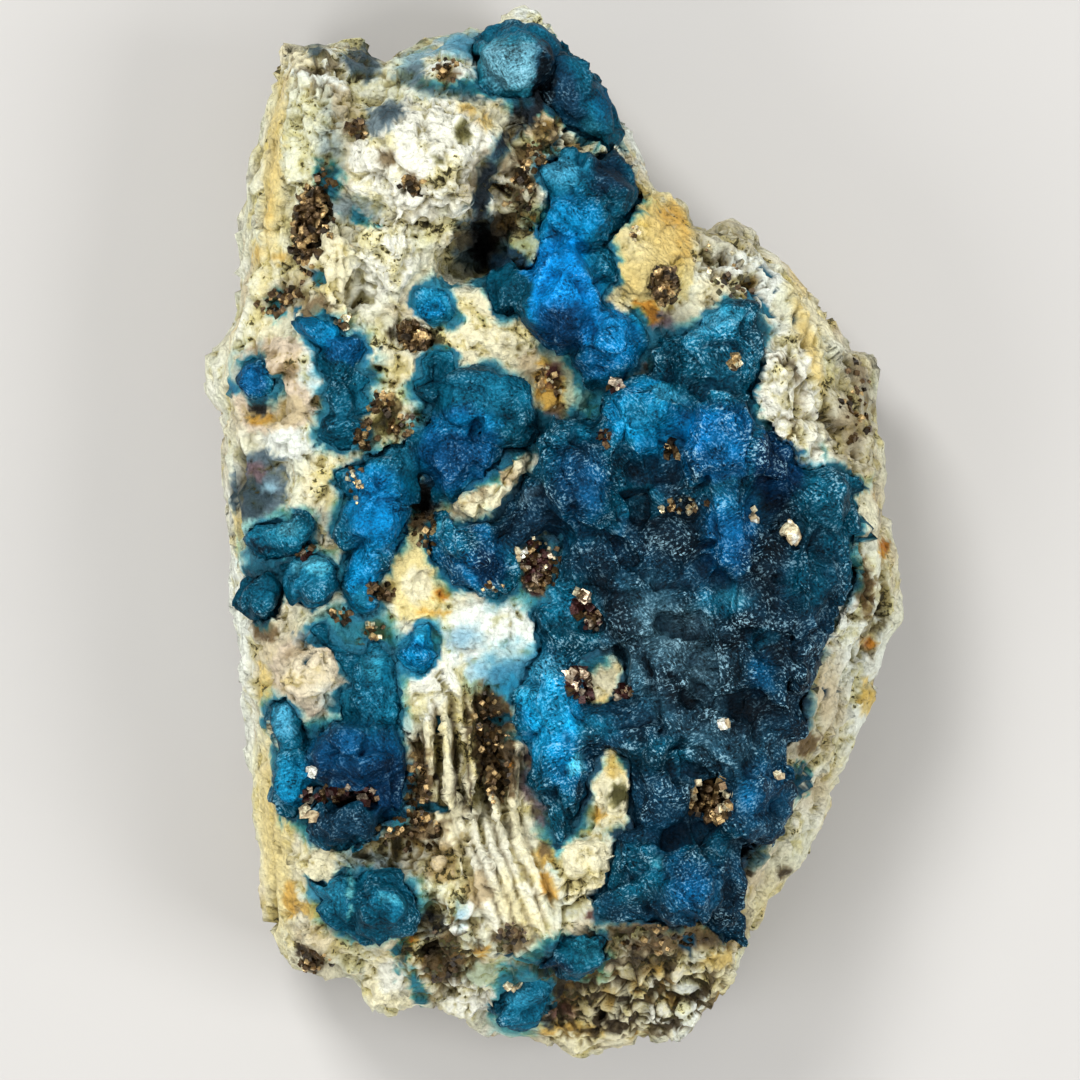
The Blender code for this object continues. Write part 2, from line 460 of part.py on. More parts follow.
# Where the cubes of a patch stand, as shares of its half widths, and how they vary.
CUBE_SIDEWAYS = 0.36
CUBE_REACH = 0.72
CUBE_SIZES = (0.72, 1.05)
WIDEST_CUBE = 1.05
CUBE_LEVEL = 0.6
CUBE_LEVEL_SPREAD = 0.3

CHIPS = {
    "calcite_chip": Crystal([(25.2, 0.5), (26.3, 2.0), (27.3, 1.0), (27.7, -0.2), (27.0, -1.3)],
                            4.4, 3.2, 0.6),
}


def smooth_step(value):
    value = min(1.0, max(0.0, value))
    return value * value * (3.0 - 2.0 * value)


def distance_to_loop(x, y, loop):
    """The distance from a point to the nearest side of a closed loop."""
    least = math.inf
    for (x0, y0), (x1, y1) in zip(loop, loop[1:] + loop[:1]):
        dx, dy = x1 - x0, y1 - y0
        along = ((x - x0) * dx + (y - y0) * dy) / (dx * dx + dy * dy)
        along = min(1.0, max(0.0, along))
        least = min(least, math.hypot(x - x0 - along * dx, y - y0 - along * dy))
    return least


def inside_loop(x, y, loop):
    inside = False
    for (x0, y0), (x1, y1) in zip(loop, loop[1:] + loop[:1]):
        if (y0 > y) != (y1 > y) and x < x0 + (y - y0) / (y1 - y0) * (x1 - x0):
            inside = not inside
    return inside


def edge_at(x, y):
    """The setback, level and slope width of the rim near a point, mixed from the nearest edges."""
    weights = [((x - edge.x) ** 2 + (y - edge.y) ** 2 + 1.0) ** -2 for edge in EDGES]
    total = sum(weights)
    setback = sum(w * edge.setback for w, edge in zip(weights, EDGES)) / total
    level = sum(w * edge.level for w, edge in zip(weights, EDGES)) / total
    slope_width = sum(w * edge.slope_width for w, edge in zip(weights, EDGES)) / total
    return setback, level, slope_width


def smoothed(loop, passes):
    """Each point moved halfway to the middle of its neighbours, a number of times over."""
    for _ in range(passes):
        loop = [
            ((a[0] + 2 * b[0] + c[0]) / 4, (a[1] + 2 * b[1] + c[1]) / 4)
            for a, b, c in zip(loop[-1:] + loop[:-1], loop, loop[1:] + loop[:1])
        ]
    return loop


def inward_directions(loop):
    """The direction into a clockwise loop at each point, taken from a smoothed copy of it."""
    soft = smoothed(loop, 3)
    directions = []
    for before, after in zip(soft[-1:] + soft[:-1], soft[1:] + soft[:1]):
        dx, dy = after[0] - before[0], after[1] - before[1]
        length = math.hypot(dx, dy)
        directions.append((dy / length, -dx / length))
    return directions


INWARD = inward_directions(OUTLINE)


def inset_outline(insets, passes):
    moved = [
        (x + dx * inset, y + dy * inset)
        for (x, y), (dx, dy), inset in zip(OUTLINE, INWARD, insets)
    ]
    return smoothed(moved, passes)


def rim_loop():
    return inset_outline([edge_at(x, y)[0] for x, y in OUTLINE], 2)


RIM = rim_loop()


def marble_level(x, y):
    """The level of the marble's front at a point."""
    _, level, slope_width = edge_at(x, y)
    depth = distance_to_loop(x, y, RIM)
    ground = level + (FACE_LEVEL - level) * smooth_step(depth / slope_width)
    lumps = sum(lump.height(x, y) for lump in LUMPS) * smooth_step(depth / LUMP_FADE)
    place = Vector((x, y, 0.0)) / ROUGHNESS_WIDTH
    return ground + lumps + ROUGHNESS_HEIGHT * noise.noise(place)


def side_wave(x, y, seed):
    """A slow wave round the sides of the stone, between about -0.7 and 0.7."""
    return noise.noise(Vector((x * SIDE_WAVE, y * SIDE_WAVE, seed)))


def chip(x, y, seed):
    """How deep a small break goes into the side of the stone, from 0 to about 0.7."""
    return abs(noise.noise(Vector((x * CHIP_WAVE, y * CHIP_WAVE, seed))))


def stone_rings():
    """The rings round the stone, from the back up to the rim of the crystal face."""
    rings = []
    for level, inset in BACK_RINGS:
        insets = [inset + CHIP_DEPTH * chip(x, y, level) * min(1.0, level) for x, y in OUTLINE]
        loop = inset_outline(insets, int(inset))
        rings.append([(x, y, level) for x, y in loop])
    rings.append([(x, y, WIDEST_LEVEL + SIDE_LIFT * side_wave(x, y, 0.0)) for x, y in OUTLINE])
    for rise_share, setback_share in SIDE_RINGS:
        insets = []
        for x, y in OUTLINE:
            share = setback_share + SIDE_JUT * side_wave(x, y, rise_share * JUT_SEED_STEP)
            insets.append(edge_at(x, y)[0] * max(LEAST_SHARE, min(MOST_SHARE, share)))
        ring = []
        for x, y in inset_outline(insets, round(setback_share)):
            rise = (edge_at(x, y)[1] - WIDEST_LEVEL) * rise_share
            lift = SIDE_LIFT * side_wave(x, y, LIFT_SEED + rise_share)
            ring.append((x, y, WIDEST_LEVEL + rise + lift))
        rings.append(ring)
    rings.append([(x, y, edge_at(x, y)[1]) for x, y in RIM])
    return rings


def grid_points(loop, step, clearance):
    """Points of a slightly irregular triangular grid that lie well inside a loop."""
    draw = random.Random(GRID_SEED)
    xs = [x for x, _ in loop]
    ys = [y for _, y in loop]
    points = []
    row = 0
    y = min(ys)
    while y < max(ys):
        x = min(xs) + (row % 2) * step / 2
        while x < max(xs):
            px = x + draw.uniform(-GRID_JITTER, GRID_JITTER) * step
            py = y + draw.uniform(-GRID_JITTER, GRID_JITTER) * step
            if inside_loop(px, py, loop) and distance_to_loop(px, py, loop) > clearance:
                points.append((px, py))
            x += step
        y += step * math.sqrt(0.75)
        row += 1
    return points


def new_mesh_object(name, bm, material=None):
    mesh = bpy.data.meshes.new(name)
    bmesh.ops.recalc_face_normals(bm, faces=bm.faces)
    bm.to_mesh(mesh)
    bm.free()
    obj = bpy.data.objects.new(name, mesh)
    bpy.context.scene.collection.objects.link(obj)
    if material:
        mesh.materials.append(material)
    return obj


def add_point(bm, x, y, z):
    return bm.verts.new((x * MM, y * MM, z * MM))


def bridge(bm, lower, upper):
    """Faces between two rings of the same number of points."""
    for i, start in enumerate(lower):
        following = (i + 1) % len(lower)
        bm.faces.new((start, lower[following], upper[following], upper[i]))


def marble_object(material):
    """The stone: a flat back, rough sides in rings and a front of lumps and hollows."""
    bm = bmesh.new()
    rings = [[add_point(bm, *point) for point in ring] for ring in stone_rings()]
    bm.faces.new(rings[0])
    for lower, upper in zip(rings, rings[1:]):
        bridge(bm, lower, upper)

    rim = rings[-1]
    flat = [(vert.co.x / MM, vert.co.y / MM) for vert in rim]
    inner = grid_points(flat, GRID_STEP, GRID_STEP * GRID_MARGIN)
    sides = [(i, (i + 1) % len(flat)) for i in range(len(flat))]
    places = [Vector(point) for point in flat + inner]
    points, _, faces, sources, _, _ = delaunay_2d_cdt(places, sides, [], 1, 1e-5)
    verts = []
    for point, source in zip(points, sources):
        if source and source[0] < len(rim):
            verts.append(rim[source[0]])
        else:
            verts.append(add_point(bm, point.x, point.y, marble_level(point.x, point.y)))
    for face in faces:
        bm.faces.new([verts[index] for index in face])
    return new_mesh_object("matrix", bm, material)


def blade_object(name, blade):
    """A wedge along one lamella, with sloping ends."""
    start, end = Vector(blade.start), Vector(blade.end)
    along = (end - start).normalized()
    across = Vector((-along.y, along.x))
    bm = bmesh.new()
    rings = []
    for width, shorten, height in (
        (BLADE_FOOT, 0.0, -BLADE_ROOT),
        (BLADE_CREST, BLADE_END_SLOPE, blade.rise),
    ):
        ring = []
        for base, way in ((start, 1), (end, -1)):
            for side in (-way, way):
                spot = base + along * shorten * way + across * side * width / 2
                ring.append(add_point(bm, spot.x, spot.y, marble_level(*base) + height))
        rings.append(ring)
    bm.faces.new(rings[0])
    bm.faces.new(rings[1])
    bridge(bm, rings[0], rings[1])
    return new_mesh_object(name, bm)


def centre_of(outline):
    return (
        sum(x for x, _ in outline) / len(outline),
        sum(y for _, y in outline) / len(outline),
    )


def widened(outline, distance):
    """The outline with each side moved out by a distance and the corners kept sharp."""
    area = sum(a[0] * b[1] - b[0] * a[1] for a, b in zip(outline, outline[1:] + outline[:1]))
    way = 1.0 if area > 0 else -1.0
    corners = []
    for before, here, after in zip(outline[-1:] + outline[:-1], outline, outline[1:] + outline[:1]):
        first = (Vector(here) - Vector(before)).normalized()
        second = (Vector(after) - Vector(here)).normalized()
        bisector = (first + second).normalized()
        outward = Vector((bisector.y, -bisector.x)) * way
        reach = distance / max(0.5, outward.dot(Vector((first.y, -first.x)) * way))
        corners.append(tuple(Vector(here) + outward * reach))
    return corners


def prism_object(name, outline, bottom, top):
    """A straight prism, used to sink a seat for a crystal into the stone round it."""
    bm = bmesh.new()
    lower = [add_point(bm, x, y, bottom) for x, y in outline]
    upper = [add_point(bm, x, y, top) for x, y in outline]
    bm.faces.new(lower)
    bm.faces.new(upper)
    bridge(bm, lower, upper)
    return new_mesh_object(name, bm)


def ground_slope(x, y):
    """How the marble slopes along X and Y under a crystal at a point."""
    slopes = []
    for dx, dy in ((SLOPE_REACH, 0.0), (0.0, SLOPE_REACH)):
        rise = marble_level(x + dx, y + dy) - marble_level(x - dx, y - dy)
        slopes.append(max(-MOST_SLOPE, min(MOST_SLOPE, rise / SLOPE_REACH / 2.0)))
    return slopes


def crystal_object(name, crystal, ground, floor, draw, material=None):
    """A crystal with upright sides, a ring of sloping faces, a steeper ring inside and a table."""
    cx, cy = centre_of(crystal.outline)
    reach = min(math.hypot(x - cx, y - cy) for x, y in crystal.outline)
    lean_x = draw.uniform(-LEAN, LEAN) * reach
    lean_y = draw.uniform(-LEAN, LEAN) * reach
    slope_x, slope_y = ground_slope(cx, cy)
    tilt_x = crystal.tilt[0] + SLOPE_SHARE * slope_x + draw.uniform(-TILT, TILT)
    tilt_y = crystal.tilt[1] + SLOPE_SHARE * slope_y + draw.uniform(-TILT, TILT)
    rise = crystal.rise - crystal.shoulder
    middle = (1.0 + crystal.crown) / 2 + MIDDLE_OUT
    steps = [(1.0, crystal.shoulder, 0.0), (crystal.crown, crystal.rise, 1.0)]
    if crystal.rise > TALL_RISE:
        steps.insert(1, (middle, crystal.shoulder + rise * MIDDLE_RISE, MIDDLE_LEAN))
    bm = bmesh.new()
    rings = [[add_point(bm, x, y, floor) for x, y in crystal.outline]]
    for scale, height, lean in steps:
        ring = []
        for x, y in crystal.outline:
            px = cx + (x - cx) * scale + lean_x * lean
            py = cy + (y - cy) * scale + lean_y * lean
            level = ground + height + tilt_x * (px - cx) + tilt_y * (py - cy)
            ring.append(add_point(bm, px, py, level))
        rings.append(ring)
    bm.faces.new(rings[0])
    bm.faces.new(rings[-1])
    for lower, upper in zip(rings, rings[1:]):
        bridge(bm, lower, upper)
    return new_mesh_object(name, bm, material)


def cluster_outline(cluster):
    turn = math.radians(cluster.turn)
    outline = []
    for i in range(CLUSTER_SIDES):
        angle = 2.0 * math.pi * i / CLUSTER_SIDES
        x, y = cluster.half_x * math.cos(angle), cluster.half_y * math.sin(angle)
        outline.append((
            cluster.x + x * math.cos(turn) - y * math.sin(turn),
            cluster.y + x * math.sin(turn) + y * math.cos(turn),
        ))
    return outline


def cube_object(name, x, y, z, size, rotation):
    bm = bmesh.new()
    bmesh.ops.create_cube(bm, size=size * MM)
    obj = new_mesh_object(name, bm)
    obj.location = (x * MM, y * MM, z * MM)
    obj.rotation_euler = rotation
    return obj


def helper_collection(name, helpers):
    """A collection of shapes that only join or cut, and aren't pieces themselves."""
    collection = bpy.data.collections.new(name)
    bpy.context.scene.collection.children.link(collection)
    for helper in helpers:
        bpy.context.scene.collection.objects.unlink(helper)
        collection.objects.link(helper)
        helper.hide_render = True
        helper.display_type = "WIRE"
    return collection


def add_boolean(obj, name, operation, collection):
    modifier = obj.modifiers.new(name, "BOOLEAN")
    modifier.operation = operation
    modifier.solver = "EXACT"
    modifier.operand_type = "COLLECTION"
    modifier.collection = collection


def finish(name, colour, roughness, metallic=0.0):
    """A plain material in one colour."""
    material = bpy.data.materials.new(name)
    material.use_nodes = True
    shader = material.node_tree.nodes["Principled BSDF"]
    shader.inputs["Base Color"].default_value = (*colour, 1.0)
    shader.inputs["Roughness"].default_value = roughness
    shader.inputs["Metallic"].default_value = metallic
    material.diffuse_color = (*colour, 1.0)
    return material


def seat_prism(name, outline, floor):
    return prism_object(name, widened(outline, GAP), floor - GAP, ABOVE_ALL)


def grown_body(name, crystals, material, draw):
    """One body of intergrown crystals, and the prisms that sink its seat."""
    seats = []
    grown = []
    floor = min(marble_level(*centre_of(drawn.outline)) for drawn in crystals) - SEAT_DEPTH
    for index, drawn in enumerate(crystals):
        crystal = replace(drawn, outline=widened(drawn.outline, OVERLAP + index * WIDER_EACH))
        ground = marble_level(*centre_of(crystal.outline)) + index * HIGHER_EACH
        label = f"{name}_{index:02d}"
        if index == 0:
            body = crystal_object(name, crystal, ground, floor, draw, material)
        else:
            grown.append(crystal_object(label, crystal, ground, floor, draw))
        seats.append(seat_prism(f"{label}_seat", crystal.outline, floor))
    if grown:
        add_boolean(body, "intergrowth", "UNION", helper_collection(f"{name}_growth", grown))
    return body, seats


def cluster_body(name, cluster, material, draw):
    """Cubes of one patch joined to a low foot, and the prism that sinks its seat."""
    ground = marble_level(cluster.x, cluster.y)
    outline = cluster_outline(cluster)
    body = prism_object(name, outline, ground - CLUSTER_DEPTH, ground + FOOT_RISE)
    body.data.materials.append(material)
    turn = math.radians(cluster.turn)
    cubes = []
    for index in range(cluster.count):
        along = 2.0 * (index + 0.5) / cluster.count - 1.0
        side = draw.uniform(-CUBE_SIDEWAYS, CUBE_SIDEWAYS) * math.sqrt(1.0 - along * along)
        x = cluster.half_x * side
        y = cluster.half_y * along * CUBE_REACH
        size = min(cluster.cube * draw.uniform(*CUBE_SIZES), WIDEST_CUBE * cluster.half_x)
        rotation = Euler([draw.uniform(0.0, math.pi) for _ in range(3)])
        cubes.append(cube_object(
            f"{name}_cube_{index:02d}",
            cluster.x + x * math.cos(turn) - y * math.sin(turn),
            cluster.y + x * math.sin(turn) + y * math.cos(turn),
            ground + CUBE_LEVEL + draw.uniform(0.0, CUBE_LEVEL_SPREAD),
            size,
            rotation,
        ))
    add_boolean(body, "grains", "UNION", helper_collection(f"{name}_grains", cubes))
    return body, seat_prism(f"{name}_seat", outline, ground - CLUSTER_DEPTH)


def clear_scene():
    for obj in list(bpy.data.objects):
        bpy.data.objects.remove(obj, do_unlink=True)


def main():
    clear_scene()
    marble = finish("marble", (0.72, 0.72, 0.58), 0.75)
    afghanite = finish("afghanite", (0.01, 0.10, 0.30), 0.35)
    pyrite = finish("pyrite", (0.25, 0.17, 0.09), 0.4, 0.8)
    calcite = finish("calcite", (0.82, 0.76, 0.62), 0.6)
    draw = random.Random(GROWTH_SEED)

    matrix = marble_object(marble)
    blades = [blade_object(f"blade_{i:02d}", blade) for i, blade in enumerate(BLADES)]
    add_boolean(matrix, "blades", "UNION", helper_collection("blades", blades))

    seats = []
    bodies = {}
    for name, crystals in BODIES.items():
        bodies[name], own_seats = grown_body(name, crystals, afghanite, draw)
        seats += own_seats

    small_seats = []
    for name, cluster in CLUSTERS.items():
        small_seats.append(cluster_body(name, cluster, pyrite, draw)[1])
    for name, chip in CHIPS.items():
        ground = marble_level(*centre_of(chip.outline))
        crystal_object(name, chip, ground, ground - SEAT_DEPTH, draw, calcite)
        small_seats.append(seat_prism(f"{name}_seat", chip.outline, ground - SEAT_DEPTH))

    add_boolean(matrix, "seats", "DIFFERENCE", helper_collection("seats", seats))
    small = helper_collection("small_seats", small_seats)
    add_boolean(matrix, "small_seats", "DIFFERENCE", small)
    add_boolean(bodies["afghanite_main"], "small_seats", "DIFFERENCE", small)


main()
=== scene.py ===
"""The looks of an afghanite specimen: sugary marble, blue crystals grown in it, and pyrite grains.

Lengths are in millimetres in the stone's own frame, +Z up, and become metres where a mesh is made.
"""

import itertools
import logging
import math
from dataclasses import dataclass, field
from enum import Enum
from typing import Any

import bpy
import numpy as np
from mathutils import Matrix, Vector
from mathutils.bvhtree import BVHTree


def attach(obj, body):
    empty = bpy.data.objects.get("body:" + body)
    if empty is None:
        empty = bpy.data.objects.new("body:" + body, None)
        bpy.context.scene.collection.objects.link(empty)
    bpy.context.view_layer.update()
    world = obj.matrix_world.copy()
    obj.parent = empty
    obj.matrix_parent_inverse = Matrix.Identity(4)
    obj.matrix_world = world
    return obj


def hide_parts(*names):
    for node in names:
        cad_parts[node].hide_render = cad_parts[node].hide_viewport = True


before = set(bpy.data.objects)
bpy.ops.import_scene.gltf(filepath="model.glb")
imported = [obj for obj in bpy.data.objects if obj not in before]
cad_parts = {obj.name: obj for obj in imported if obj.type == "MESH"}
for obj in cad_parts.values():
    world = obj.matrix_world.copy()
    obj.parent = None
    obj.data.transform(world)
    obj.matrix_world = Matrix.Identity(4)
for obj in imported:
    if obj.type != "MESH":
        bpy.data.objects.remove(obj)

MM = 0.001
BODY = "root"
log = logging.getLogger("specimen")


class Shade(Enum):
    """The colours met on the stone, as they are written in sRGB."""

    WHITE = "f6f6e4"
    SNOW = "edf2e6"
    CREAM = "efe8c2"
    BUTTER = "e9d998"
    PALE_GREEN = "e3e5ca"
    CELADON = "b4c2a4"
    YELLOW = "e2c678"
    OCHRE = "cfa045"
    ORANGE = "c07a1f"
    TAN = "cbb992"
    PINK_TAN = "dac9ae"
    GREY = "beb9a0"
    GREY_BLUE = "5d717a"
    STEEL = "354850"
    MAUVE = "6e5c60"
    BROWN = "5f4b2e"
    UMBER = "2e2414"
    OLIVE = "4a4722"
    MAROON = "3a1a17"
    GOLD = "cdb07a"
    BLACK = "0c0d0b"
    POWDER = "93bccb"
    HAZE = "62909f"
    SKY = "4890ae"
    TEAL = "085872"
    DEEP_TEAL = "004256"
    AZURE = "006c9a"
    ROYAL = "0078bc"
    COBALT = "004a74"
    INDIGO = "002a4a"
    NAVY = "082a3e"
    INK = "020e17"

    @property
    def linear(self) -> np.ndarray:
        """The colour as linear light."""
        shares = np.array([int(self.value[i:i + 2], 16) / 255.0 for i in (0, 2, 4)])
        return np.where(shares <= 0.04045, shares / 12.92, ((shares + 0.055) / 1.055) ** 2.4)

    @property
    def rgba(self) -> tuple[float, float, float, float]:
        """The colour as a shader's socket takes it."""
        return (*self.linear.tolist(), 1.0)


def smooth_step(values: np.ndarray) -> np.ndarray:
    """Values from 0 to 1 eased at both ends."""
    values = np.clip(values, 0.0, 1.0)
    return values * values * (3.0 - 2.0 * values)


def turned(points: np.ndarray, degrees: float) -> np.ndarray:
    """Points turned about the upright axis.

    Args:
        points: Rows of x, y and z.
        degrees: The turn, anticlockwise from above.

    Returns:
        The turned points.
    """
    angle = math.radians(degrees)
    x, y, z = points.T
    return np.stack([
        x * math.cos(angle) - y * math.sin(angle), x * math.sin(angle) + y * math.cos(angle), z
    ], axis=1)


def scattered(cells: np.ndarray, seed: int) -> np.ndarray:
    """Even numbers from 0 to 1 that depend only on whole-number cells.

    Args:
        cells: Rows of three whole numbers.
        seed: Chooses one set of numbers.

    Returns:
        One number for each row.
    """
    wide = cells.astype(np.int64).astype(np.uint32)
    mixed = wide[:, 0] * np.uint32(73856093) ^ wide[:, 1] * np.uint32(19349663)
    mixed = mixed ^ wide[:, 2] * np.uint32(83492791) ^ np.uint32((seed * 2654435761) % 2**32)
    for shift, factor in ((16, 0x7FEB352D), (15, 0x846CA68B)):
        mixed = (mixed ^ (mixed >> np.uint32(shift))) * np.uint32(factor)
    return (mixed ^ (mixed >> np.uint32(16))) / 2.0**32


def waves(points: np.ndarray, width: float | tuple[float, float, float], seed: int) -> np.ndarray:
    """Smooth random waves between about -1 and 1.

    Args:
        points: Rows of x, y and z.
        width: How far apart the waves are, alike or along each axis.
        seed: Chooses the pattern.

    Returns:
        The wave's height at each point.
    """
    spots = points / np.asarray(width)
    base = np.floor(spots)
    part = spots - base
    ease = part**3 * (part * (part * 6.0 - 15.0) + 10.0)
    total = np.zeros(len(points))
    for corner in itertools.product((0, 1), repeat=3):
        weight = np.prod(np.where(corner, ease, 1.0 - ease), axis=1)
        slope = [scattered(base + corner, seed * 3 + axis) * 2.0 - 1.0 for axis in range(3)]
        total += weight * ((part - corner) * np.stack(slope, axis=1)).sum(axis=1)
    return total * 1.6


def rough_waves(points: np.ndarray, width: float, seed: int, layers: int = 3) -> np.ndarray:
    """Waves with finer waves on them, each layer half as wide and half as high.

    Args:
        points: Rows of x, y and z.
        width: The width of the widest waves.
        seed: Chooses the pattern.
        layers: How many sets of waves are added.

    Returns:
        The height at each point, between about -1 and 1.
    """
    total = np.zeros(len(points))
    for layer in range(layers):
        total += waves(points, width / 2**layer, seed + layer) / 2**layer
    return total / (2.0 - 0.5 ** (layers - 1))


@dataclass
class Cells:
    """Which of a set of scattered grains each point belongs to."""

    near: np.ndarray
    second: np.ndarray
    home: np.ndarray
    offset: np.ndarray

    @classmethod
    def around(cls, points: np.ndarray, width: float | tuple[float, float, float], seed: int) -> "Cells":
        """Finds the nearest two grains of each point.

        Args:
            points: Rows of x, y and z.
            width: The grains' size, alike or along each axis.
            seed: Chooses where the grains are.

        Returns:
            The distances in grain widths, the grain's cell and the way from its middle.
        """
        spots = points / np.asarray(width)
        base = np.floor(spots - 0.5)
        near = np.full(len(points), 9.0)
        second = near.copy()
        home = np.zeros_like(base)
        offset = np.zeros_like(base)
        for corner in itertools.product((0, 1), repeat=3):
            cell = base + corner
            middle = [scattered(cell, seed * 3 + axis) * 0.6 + 0.2 for axis in range(3)]
            way = spots - cell - np.stack(middle, axis=1)
            distance = np.sqrt((way * way).sum(axis=1))
            closer = distance < near
            second = np.where(closer, near, np.minimum(second, distance))
            near = np.where(closer, distance, near)
            home[closer] = cell[closer]
            offset[closer] = way[closer]
        return cls(near, second, home, offset)

    def facets(self, seed: int, steps: float = 0.5) -> np.ndarray:
        """Each grain as one flat face that slopes its own way.

        Args:
            seed: Chooses the slopes.
            steps: How much the grains differ in height.

        Returns:
            The height at each point, between about -1 and 1.
        """
        slopes = [scattered(self.home, seed + axis) * 2.0 - 1.0 for axis in range(3)]
        level = scattered(self.home, seed + 3) - 0.5
        return (self.offset * np.stack(slopes, axis=1)).sum(axis=1) * 1.2 + level * steps

    def domes(self) -> np.ndarray:
        """Each grain as a round knob, from about -0.5 at its edge to 0.5 at its top."""
        return 0.5 - np.clip(self.near * 1.25, 0.0, 1.0) ** 1.6

    def gaps(self) -> np.ndarray:
        """The lines where grains meet, from 0 inside a grain to 1 on the line."""
        return smooth_step(1.0 - (self.second - self.near) / 0.22)

    def lot(self, seed: int) -> np.ndarray:
        """An even number from 0 to 1 for each grain."""
        return scattered(self.home, seed)


@dataclass(frozen=True)
class Patch:
    """An oval place on the stone's face: its middle, half widths, turn, strength and soft edge."""

    x: float
    y: float
    half_x: float
    half_y: float
    turn: float = 0.0
    strength: float = 1.0
    edge: float = 0.3

    def mask(self, points: np.ndarray, ragged: np.ndarray | float = 0.0) -> np.ndarray:
        """How strongly each point is marked.

        Args:
            points: Rows of x, y and z.
            ragged: How far the patch's edge is moved out at each point.

        Returns:
            A number for each point, from 0 outside to the strength inside.
        """
        turn = math.radians(self.turn)
        dx, dy = points[:, 0] - self.x, points[:, 1] - self.y
        along = (dx * math.cos(turn) + dy * math.sin(turn)) / self.half_x
        across = (dy * math.cos(turn) - dx * math.sin(turn)) / self.half_y
        inside = (1.0 - np.hypot(along, across)) * min(self.half_x, self.half_y)
        return self.strength * smooth_step(0.5 + (inside + ragged) / (2.0 * self.edge))


def ragged_edges(points: np.ndarray, seed: int) -> np.ndarray:
    """How far the edges of painted places are moved out.

    Args:
        points: Rows of x, y and z.
        seed: Chooses the pattern.

    Returns:
        The distance at each point, in millimetres.
    """
    return (
        0.8 * rough_waves(points, 3.2, seed, 3)
        + 0.45 * waves(points, 1.0, seed + 11)
        + 0.35 * waves(points, 0.55, seed + 13)
    )


def most_of(patches: list[Patch], points: np.ndarray, ragged: np.ndarray | float = 0.0) -> np.ndarray:
    """The strongest of several patches at each point.

    Args:
        patches: The patches.
        points: Rows of x, y and z.
        ragged: How far the patches' edges are moved out at each point.

    Returns:
        A number for each point, from 0 outside them all to the strength inside.
    """
    strongest = np.zeros(len(points))
    for patch in patches:
        strongest = np.maximum(strongest, patch.mask(points, ragged))
    return strongest


def stained(ground: np.ndarray, stain: np.ndarray, share: np.ndarray) -> np.ndarray:
    """A ground colour with a stain in it, mixed as pigments mix.

    Args:
        ground: The colour of each point.
        stain: The stain's colour, one for all or one for each point.
        share: How much of the stain each point gets, from 0 to 1.

    Returns:
        The mixed colour of each point.
    """
    part = share[:, None]
    least = 0.0006
    return np.exp((1.0 - part) * np.log(ground + least) + part * np.log(stain + least)) - least


def painted(
    points: np.ndarray, ground: np.ndarray, stains: list[tuple[Shade, Patch]], seed: int
) -> np.ndarray:
    """A ground colour with stains laid over it in order.

    Args:
        points: Rows of x, y and z.
        ground: The colour of each point before the stains.
        stains: The colour and place of each stain.
        seed: Chooses how ragged the stains' edges are.

    Returns:
        The colour of each point.
    """
    colours = ground
    edges = [ragged_edges(points, seed + turn) for turn in range(4)]
    for turn, (shade, patch) in enumerate(stains):
        colours = stained(colours, shade.linear, patch.mask(points, edges[turn % 4]))
    return colours


